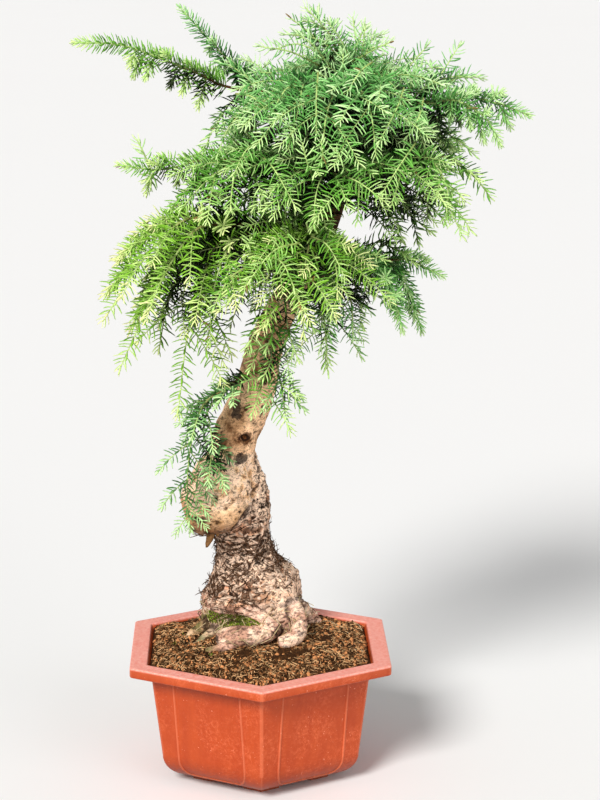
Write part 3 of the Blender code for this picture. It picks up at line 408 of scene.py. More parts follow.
def smooth_line(points, step):
    """A smooth curve through the points, as places the same short step apart."""
    points = np.array(points, float)
    padded = np.vstack([2 * points[0] - points[1], points, 2 * points[-1] - points[-2]])
    share = np.linspace(0, 1, 24, endpoint=False)[:, None]
    run = []
    for a, b, c, d in zip(padded, padded[1:], padded[2:], padded[3:]):
        run.append(0.5 * (2 * b + (c - a) * share + (2 * a - 5 * b + 4 * c - d) * share**2
                          + (3 * b - a - 3 * c + d) * share**3))
    run = np.vstack([*run, points[-1:]])
    along = distances(run)
    count = max(2, round(along[-1] / step))
    return sample(run, along, np.linspace(0, along[-1], count + 1))


def frames(line):
    """The direction at each point of a line and two sides that turn as little as they can."""
    ahead = np.gradient(line[:, :3], axis=0)
    ahead /= np.linalg.norm(ahead, axis=1)[:, None]
    first = np.cross(ahead[0], (0.0, 0.0, 1.0))
    if np.linalg.norm(first) < 0.2:
        first = np.cross(ahead[0], (0.0, 1.0, 0.0))
    sides = [unit(first)]
    for direction in ahead[1:]:
        sides.append(unit(sides[-1] - direction * (sides[-1] @ direction)))
    sides = np.array(sides)
    return ahead, sides, np.cross(ahead, sides)


def field(points, size, seed=0):
    """Smooth noise from about -1 to 1 with lumps of this size, which may differ along x, y and z."""
    cell = points / size + seed * 17.31
    low = np.floor(cell).astype(np.int64)
    part = cell - low
    ease = part * part * (3 - 2 * part)
    total = np.zeros(len(points))
    for corner in itertools.product((0, 1), repeat=3):
        key = (low + corner) @ np.array((73856093, 19349663, 83492791))
        key = ((key ^ (key >> 13)) * 1274126177) & 0x7FFFFFFF
        value = ((key ^ (key >> 16)) & 0xFFFF) / 32767.5 - 1
        total += value * np.prod(np.where(corner, ease, 1 - ease), axis=1)
    return total


def fractal(points, size, seed=0, octaves=3):
    """Noise with finer and weaker lumps on its coarse ones."""
    return sum(field(points, np.array(size) / 2**k, seed + k) / 2**k for k in range(octaves))


def stair(value, low, high):
    """Rises smoothly from 0 at low to 1 at high."""
    share = np.clip((value - low) / (high - low), 0, 1)
    return share * share * (3 - 2 * share)


def mix(first, second, share):
    share = np.asarray(share)[..., None]
    return np.asarray(tone(first)) * (1 - share) + np.asarray(tone(second)) * share


def linear(code):
    """The linear colour of an sRGB hex code."""
    values = np.array([int(code[k:k + 2], 16) / 255 for k in (0, 2, 4)])
    return np.where(values <= 0.04045, values / 12.92, ((values + 0.055) / 1.055) ** 2.4)


def tone(value):
    """A colour or a number as it is, and a hex code as its linear colour."""
    return linear(value) if isinstance(value, str) else value


def loft(rings):
    """Triangles through rings of the same number of points, with flat ends."""
    count = len(rings[0])
    j = np.arange(count)
    n = (j + 1) % count
    faces = []
    for k in range(len(rings) - 1):
        low, high = k * count, (k + 1) * count
        faces.append(np.stack([low + j, low + n, high + n], axis=1))
        faces.append(np.stack([low + j, high + n, high + j], axis=1))
    fan = np.arange(1, count - 1)
    top = (len(rings) - 1) * count
    faces.append(np.stack([0 * fan, fan + 1, fan], axis=1))
    faces.append(np.stack([top + 0 * fan, top + fan, top + fan + 1], axis=1))
    return np.vstack(rings), np.vstack(faces)


def lobed(line, lumps):
    """A loft round a line, with its radius made uneven by the lumps at each angle and height."""
    _, side, other = frames(line)
    angles = np.arange(40) * math.tau / 40
    rings = []
    for place, s, o in zip(line, side, other):
        spread = np.cos(angles)[:, None] * s + np.sin(angles)[:, None] * o
        rings.append(place[:3] + spread * (place[3] * lumps(angles, place[2]))[:, None])
    return loft(rings)


def tube(line, sides):
    """A round tube along a line whose points hold x, y, z and radius."""
    _, side, other = frames(line)
    angles = np.arange(sides) * math.tau / sides
    spread = np.cos(angles)[None, :, None] * side[:, None] + np.sin(angles)[None, :, None] * other[:, None]
    return loft(line[:, None, :3] + spread * line[:, 3, None, None])


def join(shells):
    """One pair of points and triangles from several."""
    points, faces, count = [], [], 0
    for some_points, some_faces in shells:
        points.append(some_points)
        faces.append(some_faces + count)
        count += len(some_points)
    return np.vstack(points), np.vstack(faces)


def link(obj):
    bpy.context.scene.collection.objects.link(obj)
    return obj


def make_mesh(name, points, faces, smooth=True):
    """A mesh from a table of points and one of faces that all have the same number of corners."""
    mesh = bpy.data.meshes.new(name)
    mesh.vertices.add(len(points))
    mesh.vertices.foreach_set("co", np.ascontiguousarray(points, np.float32).ravel())
    mesh.loops.add(faces.size)
    mesh.loops.foreach_set("vertex_index", np.ascontiguousarray(faces, np.int32).ravel())
    mesh.polygons.add(len(faces))
    mesh.polygons.foreach_set("loop_start", np.arange(len(faces), dtype=np.int32) * faces.shape[1])
    mesh.update(calc_edges=True)
    mesh.validate()
    if smooth:
        mesh.shade_smooth()
    return mesh


def paint(mesh, name, colours):
    """Stores a colour or a number for each point."""
    layer = mesh.attributes.new(name, "FLOAT_COLOR", "POINT")
    full = np.ones((len(mesh.vertices), 4), np.float32)
    full[:, :3] = np.clip(colours, 0, 1).reshape(len(full), -1)
    layer.data.foreach_set("color", full.ravel())


def add_piece(name, mesh, look, slot, nodes=()):
    """Adds a piece on the pot's axis, riding on the one body."""
    obj = link(bpy.data.objects.new(name, mesh))
    mesh.transform(Matrix.Translation(AXIS))
    mesh.materials.clear()
    mesh.materials.append(look)
    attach(obj, "root")
    if nodes:
        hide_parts(*nodes)


def remeshed(points, faces, size):
    """One skin round overlapping solids, as points, triangles and outward directions."""
    source = link(bpy.data.objects.new("source", make_mesh("source", points, faces)))
    skin = source.modifiers.new("skin", "REMESH")
    skin.mode = "VOXEL"
    skin.voxel_size = size
    soft = source.modifiers.new("soft", "SMOOTH")
    soft.factor = 0.5
    soft.iterations = 2
    bpy.context.view_layer.update()
    made = bpy.data.meshes.new_from_object(source.evaluated_get(bpy.context.evaluated_depsgraph_get()))
    old = source.data
    bpy.data.objects.remove(source)
    bpy.data.meshes.remove(old)
    made.calc_loop_triangles()
    tables = []
    for rows, name, kind in ((made.vertices, "co", np.float32), (made.loop_triangles, "vertices", np.int32),
                             (made.vertex_normals, "vector", np.float32)):
        values = np.zeros(len(rows) * 3, kind)
        rows.foreach_get(name, values)
        tables.append(values.reshape(-1, 3))
    bpy.data.meshes.remove(made)
    return tables[0].astype(float), tables[1], tables[2].astype(float)


class Look:
    """A node material, built from its Principled shader outwards."""

    def __init__(self, name, roughness):
        self.material = bpy.data.materials.new(name)
        self.material.use_nodes = True
        self.tree = self.material.node_tree
        self.shader = self.tree.nodes["Principled BSDF"]
        self.shader.inputs["Roughness"].default_value = roughness
        self.shader.inputs["Specular IOR Level"].default_value = 0.1
        self.place = self.add("ShaderNodeNewGeometry").outputs["Position"]

    def add(self, kind, **inputs):
        """A node, with its inputs set or linked by name. Names in lower case are the node's own settings."""
        made = self.tree.nodes.new(kind)
        for name, value in inputs.items():
            if name[0].islower():
                setattr(made, name, value)
        for name, value in inputs.items():
            if name[0].islower():
                continue
            socket = made.inputs[name.replace("_", " ")]
            if isinstance(value, bpy.types.NodeSocket):
                self.tree.links.new(value, socket)
            else:
                socket.default_value = value
        return made

    def noise(self, scale, detail=4.0, roughness=0.55, place=None, distortion=0.0):
        made = self.add("ShaderNodeTexNoise", Vector=place or self.place, Scale=scale, Detail=detail,
                        Roughness=roughness, Distortion=distortion)
        return made.outputs["Fac"]

    def vector(self, operation, first, second=(0, 0, 0)):
        made = self.add("ShaderNodeVectorMath", operation=operation)
        self.tree.links.new(first, made.inputs[0])
        made.inputs[1].default_value = second
        return made

    def squeezed(self, x, y, z):
        """The place with each axis scaled, for a grain that is longer one way."""
        return self.vector("MULTIPLY", self.place, (x, y, z)).outputs[0]

    def rise(self, value, low, high):
        """From 0 where a value is at the first number to 1 where it is at the second."""
        return self.add("ShaderNodeMapRange", Value=value, From_Min=low, From_Max=high).outputs[0]

    def ramp(self, value, *stops):
        """A colour ramp of places, each with a colour or a number."""
        made = self.add("ShaderNodeValToRGB", Fac=value)
        marks = made.color_ramp.elements
        while len(marks) < len(stops):
            marks.new(0.5)
        for mark, (place, colour) in zip(marks, stops):
            mark.position = place
            mark.color = (*np.broadcast_to(tone(colour), 3), 1.0)
        return made.outputs["Color"]

    def blend(self, share, first, second, kind="MIX"):
        made = self.add("ShaderNodeMix", data_type="RGBA", blend_type=kind)
        for socket, value in zip((made.inputs[0], made.inputs[6], made.inputs[7]), (share, first, second)):
            value = tone(value)
            if isinstance(value, bpy.types.NodeSocket):
                self.tree.links.new(value, socket)
            else:
                socket.default_value = value if np.isscalar(value) else (*value, 1.0)
        return made.outputs[2]

    def product(self, first, second):
        """Two values multiplied, either of which may be a plain number."""
        first, second = ((value,) * 3 if np.isscalar(value) else value for value in (first, second))
        return self.blend(1.0, first, second, "MULTIPLY")

    def attribute(self, name):
        made = self.add("ShaderNodeAttribute", attribute_type="GEOMETRY", attribute_name=name)
        return made.outputs["Color"]

    def finish(self, colour, roughness=None, height=None, distance=0.001, strength=0.6):
        self.tree.links.new(colour, self.shader.inputs["Base Color"])
        if roughness is not None:
            self.tree.links.new(roughness, self.shader.inputs["Roughness"])
        if height is not None:
            bump = self.add("ShaderNodeBump", Height=height, Distance=distance, Strength=strength)
            self.tree.links.new(bump.outputs["Normal"], self.shader.inputs["Normal"])
        return self.material


# Pot

def hexagon(radius, height, rounding, steps=5):
    """A ring round a hexagon whose corners are rounded."""
    ring = []
    centre = radius - rounding / math.sin(math.radians(60))
    for corner in range(6):
        middle = math.radians(60 * corner - 90)
        for swing in np.linspace(-30, 30, steps):
            angle = middle + math.radians(swing)
            ring.append((centre * math.cos(middle) + rounding * math.cos(angle),
                         centre * math.sin(middle) + rounding * math.sin(angle), height))
    return np.array(ring)


def body_radius(height):
    """The corner radius of the pot's outside at a height, with the curve under to its base."""
    if height >= BODY_LOW:
        share = (height - BODY_LOW) / (RIM_LOW - BODY_LOW)
        return BODY_LOW_RADIUS + share * (BODY_TOP_RADIUS - BODY_LOW_RADIUS)
    share = 1 - (height - BASE_BOTTOM) / (BODY_LOW - BASE_BOTTOM)
    return BASE_RADIUS + (BODY_LOW_RADIUS - BASE_RADIUS) * math.sqrt(max(0.0, 1 - share**2))


def inner_radius(height):
    """The corner radius of the pot's inside at a height."""
    flare = max(0.0, height - RIM_LOW) / RIM_EDGE
    lip = RIM_RADIUS - RIM_WIDTH - BODY_TOP_RADIUS + WALL
    return body_radius(min(height, RIM_LOW)) - WALL + flare * lip


def eased_edge(radius, height, size, start, turn, count, rounding):
    """Rings round a small radius at an edge of the rim, turning from one angle by equal steps."""
    angles = [math.radians(start + turn * k) for k in range(count)]
    return [(radius + size * math.cos(angle), height + size * math.sin(angle), rounding) for angle in angles]


def pot_shell():
    """The wall and rim as one skin, with small radii at its edges."""
    lip = RIM_RADIUS - RIM_WIDTH
    heights = [BASE_BOTTOM + (BODY_LOW - BASE_BOTTOM) * share
               for share in (0, 0.02, 0.06, 0.13, 0.22, 0.34, 0.48, 0.64, 0.82, 1.0)]
    heights += [0.07, 0.10, 0.13, RIM_LOW - 0.0025]
    profile = [(body_radius(z), z, BODY_ROUNDING) for z in heights]
    profile += [(BODY_TOP_RADIUS + 0.001, RIM_LOW - 0.0006, BODY_ROUNDING),
                (BODY_TOP_RADIUS + 0.003, RIM_LOW, BODY_ROUNDING)]
    profile += eased_edge(RIM_RADIUS - RIM_FOOT_ROUND, RIM_LOW + RIM_FOOT_ROUND, RIM_FOOT_ROUND, -90, 22.5, 5,
                          BODY_ROUNDING)
    profile += eased_edge(RIM_RADIUS - RIM_TOP_ROUND, RIM_TOP - RIM_TOP_ROUND, RIM_TOP_ROUND, 0, 22.5, 5,
                          BODY_ROUNDING)
    profile += [(RIM_RADIUS - 0.008, RIM_TOP - 0.0004, BODY_ROUNDING),
                (lip + 0.006, RIM_TOP - 0.0004, INNER_ROUNDING)]
    profile += eased_edge(lip + LIP_ROUND, RIM_TOP - LIP_ROUND, LIP_ROUND, 90, 30, 4, INNER_ROUNDING)
    profile += [(inner_radius(z), z, INNER_ROUNDING) for z in (0.164, RIM_LOW, SOIL_FOOT)]
    return loft([hexagon(*ring) for ring in profile])


def facing_out(degrees):
    """The level ways straight out from the pot's axis and across, at an angle."""
    angle = math.radians(degrees)
    cos, sin = math.cos(angle), math.sin(angle)
    return np.array((cos, sin, 0.0)), np.array((-sin, cos, 0.0))


def foot(corner, radius, half_width, inner, low, high, round_off=0.0012):
    """A block under a corner of the base, cut to the shape of that corner, with its edges eased."""
    slope = 1 / math.tan(math.radians(60))
    out, across = facing_out(60 * corner - 90)
    rings = []
    for z, inset in ((low, round_off), (low + round_off, 0.0), (high, 0.0)):
        plan = ((radius - inset, 0), (radius - inset - half_width * slope, half_width - inset),
                (inner + inset, half_width - inset), (inner + inset, -half_width + inset),
                (radius - inset - half_width * slope, -half_width + inset))
        rings.append(np.array([out * r + across * w + (0, 0, z) for r, w in plan]))
    return loft(rings)


def panel_ridge(side):
    """The thin ridge that frames a side's panel: down one edge, across the bottom and up again."""
    edge = [(1.0, RIM_LOW - 0.004), (1.0, 0.10), (1.0, 0.06), (1.0, BODY_LOW), (0.985, 0.034),
            (0.94, 0.027), (0.85, 0.0215), (0.72, 0.0185), (0.4, 0.0180)]
    path = [(-share, height) for share, height in edge] + edge[::-1]
    out, across = facing_out(60 * side - 60)
    places = np.array([out * body_radius(height) * FLAT + across * share * PANEL_SHARE * BODY_TOP_RADIUS
                       + (0, 0, height) for share, height in path])
    rings = []
    for place, direction, (_, height) in zip(places, np.gradient(places, axis=0), path):
        slope = body_radius(height + 0.002) - body_radius(height - 0.002)
        normal = unit(out * 0.004 - np.array((0, 0, 1.0)) * slope * FLAT)
        beside = unit(np.cross(normal, unit(direction))) * RIDGE_WIDTH
        rise = normal * RIDGE_HEIGHT
        root = place - rise
        rings.append(np.array((root - beside, root + beside, place + beside * 0.35 + rise,
                               place - beside * 0.35 + rise)))
    return loft(rings)


def plastic_look():
    """Terracotta plastic, chafed and scratched on its sides, with painted highlights on its corners, ridges
    and rim top, pale specks on the rim, a painted shadow under the rim, and darker towards the bottom.
    """
    look = Look("terracotta_plastic", 0.42)
    look.shader.inputs["Specular IOR Level"].default_value = 0.35
    height = look.add("ShaderNodeSeparateXYZ", Vector=look.place).outputs["Z"]
    fine = look.noise(260.0, 5.0, 0.6)
    streaks = look.noise(1.0, 4.0, 0.6, look.squeezed(60.0, 60.0, 9.0))
    base = look.ramp(look.noise(9.0, 3.0), (0.3, "A83A0A"), (0.7, "B9430C"))
    base = look.blend(0.25, base, look.ramp(streaks, (0.35, "9E330A"), (0.7, "CE5A24")))
    patches = look.ramp(look.noise(17.0, 3.0), (0.40, 0.15), (0.62, 1.0))
    scratches = look.ramp(look.noise(70.0, 2.0, 0.5, None, 1.6), (0.478, 0.0), (0.492, 1.0), (0.506, 0.0))
    chafed = look.ramp(look.noise(190.0, 4.0, 0.7), (0.46, 0.0), (0.62, 0.45))
    pale_marks = look.product(look.blend(1.0, scratches, chafed, "ADD"), patches)
    dots = look.ramp(look.noise(330.0, 2.0), (0.715, 0.0), (0.755, 0.7))
    # Painted shadow: a dark band just under the rim
    under = look.rise(height, RIM_LOW - 0.016, RIM_LOW + 0.004)
    under = look.ramp(under, (0.0, 0.0), (0.78, 0.75), (0.80, 0.0))
    darker_towards_bottom = look.ramp(look.rise(height, 0.046, 0.012), (0.0, 0.0), (1.0, 0.8))
    darker_towards_bottom = look.product(darker_towards_bottom, look.ramp(fine, (0.35, 1.0), (0.70, 0.35)))
    # Painted highlight: the rim's top face is paler, and carries pale specks
    top = look.rise(height, RIM_TOP - 0.0032, RIM_TOP - 0.001)
    rim = look.ramp(fine, (0.3, "F28A78"), (0.75, "FFBCAE"))
    specks = look.product(top, look.ramp(look.noise(420.0, 2.0), (0.70, 0.0), (0.76, 0.8)))
    dust = look.rise(height, 0.012, 0.0)
    dust = look.blend(dust, (0, 0, 0), look.ramp(fine, (0.3, 0.0), (0.8, 0.5)))
    # The point attribute carries painted highlights along the corners, the rim's top edges and the panel
    # ridges
    for share, colour in ((look.product(pale_marks, 0.55), "EE7A50"), (look.attribute("pale_marks"), "F08A62"),
                          (dots, "FFB090"), (under, "6E240A"), (darker_towards_bottom, "5E200A"), (top, rim),
                          (specks, "FFE6DA"), (dust, "D58A66")):
        base = look.blend(share, base, colour)
    rough = look.ramp(fine, (0.3, 0.36), (0.75, 0.55))
    return look.finish(base, rough, look.noise(700.0, 3.0), 0.0002, 0.25)


def edge_highlights(points):
    """How strongly each point of the pot's skin is lightened by a painted highlight: on the upright corners
    and on the rim's top edges.
    """
    x, y, z = points.T
    turn = (np.degrees(np.arctan2(y, x)) + 90) % 60
    corner = np.minimum(turn, 60 - turn)
    rim = (z > RIM_TOP - 0.003) & (np.hypot(x, y) > RIM_RADIUS * 0.85)
    return np.where(corner < 0.6, 0.25, 0.0) + np.where(rim, 0.12, 0.0)


def make_pot():
    shells = [pot_shell()]
    # Each point's share of painted highlight
    pale_marks = [edge_highlights(shells[0][0])]
    for corner in range(6):
        step = foot(corner, BASE_RADIUS - 0.002, FOOT_HALF_WIDTH + 0.006, FOOT_INNER - 0.006, FOOT_STEP,
                    BASE_BOTTOM + 0.002)
        sole = foot(corner, FOOT_RADIUS, FOOT_HALF_WIDTH, FOOT_INNER, 0.0, FOOT_STEP + 0.001)
        # The panel ridges take a painted highlight, the feet none
        for shell, wear in ((step, 0.0), (sole, 0.0), (panel_ridge(corner), 0.32)):
            shells.append(shell)
            pale_marks.append(np.full(len(shell[0]), wear))
    mesh = make_mesh("pot", *join(shells))
    paint(mesh, "pale_marks", np.concatenate(pale_marks))
    mesh.set_sharp_from_angle(angle=math.radians(35))
    add_piece("moulded_pot", mesh, plastic_look(), "plastic", ["pot"])


# Soil

def wall_share(x, y):
    """How far out a place lies on the soil: 0 at the middle, 1 at the pot's wall."""
    angles = np.radians(60 * np.arange(6))
    reach = (np.outer(x, np.cos(angles)) + np.outer(y, np.sin(angles))).max(axis=1)
    return reach / (inner_radius(SOIL_EDGE) * FLAT)


def soil_height(x, y):
    """The soil's top: level at the wall, higher round the trunk, with low lumps."""
    reach = np.minimum(1.0, wall_share(x, y))
    mound = SOIL_MOUND * (1 - reach**2) ** 0.7
    lumps = np.sin(61 * x + 1.3) * np.sin(53 * y + 0.4) + 0.5 * np.sin(117 * x - 83 * y)
    return SOIL_EDGE + mound + SOIL_LUMPS * lumps * np.minimum(1.0, 3 * (1 - reach))


def soil_top(x, y):
    """The soil's top with its crumbs and clods."""
    places = np.stack([x, y, 0 * x], axis=1)
    rough = 0.0022 * fractal(places, 0.021, 5, 2) + 0.0016 * np.abs(fractal(places, 0.0075, 9, 2))
    return soil_height(x, y) + rough - SOIL_CLEARANCE


def soil_bed():
    """The soil as one closed skin whose top is a fine ring grid."""
    edge = hexagon(inner_radius(SOIL_EDGE) - SOIL_CLEARANCE, 0.0, INNER_ROUNDING, SOIL_SIDES)
    rings = [hexagon(inner_radius(z) - SOIL_CLEARANCE, z, INNER_ROUNDING, SOIL_SIDES)
             for z in (SOIL_FOOT, 0.157)]
    for share in np.linspace(1.0, 0.02, 74):
        ring = edge * (share, share, 1.0)
        ring[:, 2] = soil_top(ring[:, 0], ring[:, 1])
        rings.append(ring)
    return loft(rings)


def crumbs(count, low, high, seed):
    """Small angular lumps scattered on the soil, with a tone for each point."""
    chance = np.random.RandomState(seed)
    x, y = chance.uniform(-0.17, 0.17, (2, count * 2))
    keep = wall_share(x, y) < WALL_LIMIT
    x, y = x[keep][:count], y[keep][:count]
    base = np.array([(1, 1, 1), (1, -1, -1), (-1, 1, -1), (-1, -1, 1), (1.5, 0, 0), (-1.5, 0, 0), (0, 1.5, 0),
                     (0, -1.5, 0), (0, 0, 1.5), (0, 0, -1.5)], float) / 1.6
    faces = np.array([(0, 4, 6), (0, 6, 8), (0, 8, 4), (1, 7, 4), (1, 9, 7), (1, 4, 9), (2, 9, 5), (2, 5, 6),
                      (2, 6, 9), (3, 5, 7), (3, 8, 5), (3, 7, 8), (4, 7, 8), (4, 6, 9), (5, 8, 6),
                      (5, 9, 7)])
    n = len(x)
    size = chance.uniform(low, high, (n, 1, 1)) * chance.uniform(0.6, 1.3, (n, 1, 3))
    lumps = base[None] * size * chance.uniform(0.75, 1.2, (n, 10, 1))
    turn = chance.uniform(0, math.tau, n)
    cos, sin = np.cos(turn)[:, None], np.sin(turn)[:, None]
    lumps = np.stack([lumps[..., 0] * cos - lumps[..., 1] * sin, lumps[..., 0] * sin + lumps[..., 1] * cos,
                      lumps[..., 2]], axis=2)
    lumps += np.stack([x, y, soil_top(x, y) + SOIL_CLEARANCE], axis=1)[:, None]
    all_faces = faces[None] + (np.arange(n) * 10)[:, None, None]
    return lumps.reshape(-1, 3), all_faces.reshape(-1, 3), np.repeat(chance.uniform(0, 1, n), 10)


def fibres(count, shortest, longest, thinnest, thickest, steps, seed):
    """Fibres that lie across the soil, with a tone for each point."""
    chance = np.random.RandomState(seed)
    shells, tones = [], []
    share = np.linspace(0, 1, steps)
    while len(shells) < count:
        x, y = chance.uniform(-0.165, 0.165, 2)
        length = chance.uniform(shortest, longest)
        turn = chance.uniform(0, math.tau)
        bend = chance.uniform(-1.1, 1.1)
        px = x + length * share * np.cos(turn + bend * share)
        py = y + length * share * np.sin(turn + bend * share)
        if wall_share(px, py).max() > WALL_LIMIT:
            continue
        lift = chance.uniform(0.0006, 0.0022) + length * 0.16 * chance.normal() * share * (1 - 0.4 * share)
        radius = chance.uniform(thinnest, thickest) * (1 - 0.5 * share)
        line = np.stack([px, py, soil_top(px, py) + np.maximum(lift, 0.0004), radius], axis=1)
        shells.append(tube(line, 3))
        tones.append(np.full(3 * steps, chance.uniform()))
    return join(shells), np.concatenate(tones)


def soil_look():
    """Dark soil with paler grains."""
    look = Look("bark_mix", 0.95)
    grain = look.noise(160.0, 6.0, 0.7)
    fine = look.noise(900.0, 3.0)
    base = look.ramp(grain, (0.38, "0A0401"), (0.54, "241206"), (0.66, "5E3818"), (0.80, "A87442"))
    base = look.blend(0.25, base, look.ramp(fine, (0.3, "2A160A"), (0.7, "8A5C34")))
    return look.finish(base, None, grain, 0.0015, 0.9)


def tinted_look(name, share, scale, dark, pale, bumps=None):
    """Each piece's own tint with a little of a fine grain over it."""
    look = Look(name, 0.9)
    grain = look.ramp(look.noise(scale), (0.3, dark), (0.7, pale))
    base = look.blend(share, look.attribute("tint"), grain)
    return look.finish(base, None, look.noise(bumps) if bumps else None, 0.0004)


def make_soil():
    add_piece("soil_bed", make_mesh("soil_bed", *soil_bed()), soil_look(), "mulch", ["soil"])
    lumps = [crumbs(*kind) for kind in CRUMBS]
    tints = np.concatenate([tint for _, _, tint in lumps])
    pieces = (("soil_crumbs", "120802", "E89C64", join([shell[:2] for shell in lumps]), tints),
              ("soil_fibres", "301808", "FFCC94", *fibres(*FIBRES)),
              ("dry_straws", "A08450", "FFF4D0", *fibres(*STRAWS)))
    for name, dark, pale, shapes, tint in pieces:
        mesh = make_mesh(name, *shapes, smooth=name != "soil_crumbs")
        paint(mesh, "tint", mix(dark, pale, stair(tint, 0.12, 0.95)))
        add_piece(name, mesh, tinted_look(name, 0.2, 700.0, "4A2B14", "C9955F", 1200.0), "mulch")


# Trunk

def trunk_lumps(angles, height):
    """Lobes like a root flare near the ground, and slight unevenness above."""
    flare = 0.07 * max(0.0, min(1.0, (0.30 - height) / 0.10))
    lumps = 1 + flare * np.cos(7 * angles + 1.0)
    return lumps + (0.03 * np.sin(3 * angles + 41 * height) + 0.02 * np.sin(5 * angles - 67 * height))


def burl_lumps(angles, height):
    """Three shallow lobes that turn as they rise."""
    return 1 + 0.05 * np.sin(3 * angles + 60 * height) * np.sin(90 * height + angles)


def limb_lines():
    """Each limb as a smooth line of x, y, z and radius from the middle of the trunk."""
    trunk = np.array(TRUNK, float)
    lines = {}
    for name, (start, *shape) in LIMBS.items():
        points, thick, thin = metres(shape)
        start -= TRUNK_POINTS_BELOW
        low = int(start)
        place = trunk[low] + (start - low) * (trunk[low + 1] - trunk[low])
        line = smooth_line([place[:3], *points], 0.034)
        lines[name] = np.column_stack([line, np.linspace(thick, thin, len(line))])
    return lines


def around(points, line):
    """How far out each point lies from a line of x, y, z and radius, as a share of its radius."""
    line = np.array(line, float)[np.argsort([place[2] for place in line])]
    middle = np.stack([np.interp(points[:, 2], line[:, 2], line[:, k]) for k in (0, 1, 3)], axis=1)
    return np.linalg.norm(points[:, :2] - middle[:, :2], axis=1) / middle[:, 2]


def on_roots(points):
    """From 0 to 1 where a point lies on a surface root at the front."""
    line = np.vstack([smooth_line(root, 0.004)[2:] for root in ROOTS[:FRONT_ROOTS]])
    nearest = np.full(len(points), 9.0)
    low = np.flatnonzero(points[:, 2] < ROOTS_TOP)
    for place in line:
        apart = np.linalg.norm(points[low] - place[:3], axis=1) / place[3]
        nearest[low] = np.minimum(nearest[low], apart)
    return 1 - stair(nearest, 1.12, 1.45)


def crevice_shade(points):
    """From 0 to 1 in the narrow hollows where two roots meet, or a root meets the trunk: how much painted
    shade darkens the bark there.
    """
    low = np.flatnonzero(points[:, 2] < ROOTS_TOP)
    places = points[low]
    reaches = [around(places, TRUNK) + 0.02]
    for root in ROOTS:
        line = smooth_line(root, 0.004)
        apart = np.linalg.norm(places[:, None] - line[None, :, :3], axis=2) / line[:, 3]
        reaches.append(apart.min(axis=1))
    reaches = np.sort(np.array(reaches), axis=0)
    deep = np.zeros(len(points))
    deep[low] = 1 - stair(reaches[1] + 0.05 * fractal(places, 0.006, 46, 2), 1.03, 1.20)
    return deep


def plate_zone(points):
    """From 0 to 1 where the flare's bark is in broad pale plates, at its lower right."""
    wobble = 0.012 * field(points, 0.03, 45)
    return stair(points[:, 0] + wobble, -0.025, 0.015) * (1 - stair(points[:, 2] + wobble, 0.256, 0.280))


def bark_shape(shells, size):
    """The bark's skin, and for each point how far the bark is pushed out and what it is."""
    points, faces, normals = remeshed(*join(shells), size)
    height = points[:, 2]
    wobble = fractal(points, 0.016, 6, 2)
    low = 1 - stair(height + 0.012 * wobble, *FLARE_TOP)
    roots = on_roots(points)
    out = around(np.maximum(points, (-1, -1, 0.356)), BURL) + 0.10 * wobble
    left = stair(-points[:, 0] + 0.006 * wobble, 0.022, 0.050) * stair(height, 0.375, 0.395)
    burl = np.maximum(1 - stair(out, 1.02, 1.20), left)
    below_neck = 1 - stair(height, *NECK)
    burl *= stair(height, *BURL_FOOT) * below_neck
    slant = points[:, 0] - 0.85 * (height - BURL_CUT[1]) + 0.004 * wobble
    burl *= 1 - stair(slant, BURL_CUT[0], BURL_CUT[0] + 0.007)
    strip = stair(height, *STRIP_FOOT) * below_neck * (1 - burl)
    crease = 4 * burl * (1 - burl) * (1 - stair(height, 0.362, 0.385))
    shaggy = low * stair(height + 0.010 * wobble, 0.222, 0.250) * (1 - 0.85 * roots)
    lobes = low * (1 - shaggy)
    upper = (1 - low) * (1 - strip) * (1 - burl)
    plain = 1 - stair(height, *CROWN_FOOT)
    warp = 0.012 * field(points, (0.05, 0.05, 0.03), 2)
    ridges = 1 - 2.2 * np.abs(fractal(points, (0.014, 0.014, 0.009), 4, 3))
    scales = 1 - 2.2 * np.abs(fractal(points + warp[:, None], (0.0065, 0.0065, 0.0045), 9, 2))
    push = (shaggy + 0.7 * strip) * (0.0018 * ridges + 0.0013 * scales) - 0.0022 * crease
    push += 0.0040 * lobes * (1 - roots) * field(points, (0.032, 0.032, 0.022), 31)
    push += 0.0006 * (lobes + burl) * fractal(points, 0.007, 33, 2) + 0.0012 * burl * field(points, 0.020, 7)
    lumps = 0.0015 * field(points, (0.030, 0.030, 0.022), 8) + 0.0007 * fractal(points, 0.010, 10, 2)
    push += upper * plain * lumps
    spots = fractal(points, (0.0085, 0.0085, 0.006), 15, 2)
    pits = stair(spots, 0.62, 0.95) * (1 - low) * plain
    cracks = 1 - stair(np.abs(fractal(points, (0.021, 0.021, 0.013), 19, 3)), 0.0, 0.10)
    cracks *= np.maximum(stair(field(points, 0.03, 27), -0.1, 0.5) * plain, np.maximum(strip, low))
    cracks *= 0.45 + 0.55 * np.maximum(np.maximum(burl, strip), low * (1 - 0.7 * roots))
    push += 0.0005 * stair(spots, 0.35, 0.62) * upper * plain - 0.0016 * pits - 0.0013 * cracks
    for place, radius, depth in MARKS:
        near = np.linalg.norm((points - place) / (1, 1, 0.85), axis=1) / radius
        push += 0.0016 * np.exp(-((near - 1.15) / 0.3) ** 2) - depth * (1 - stair(near, 0.55, 1.0))
    facts = np.stack([push, low, burl, crease, strip, pits, shaggy, cracks, lobes, plain], axis=1)
    return points + normals * push[:, None], faces, facts, normals


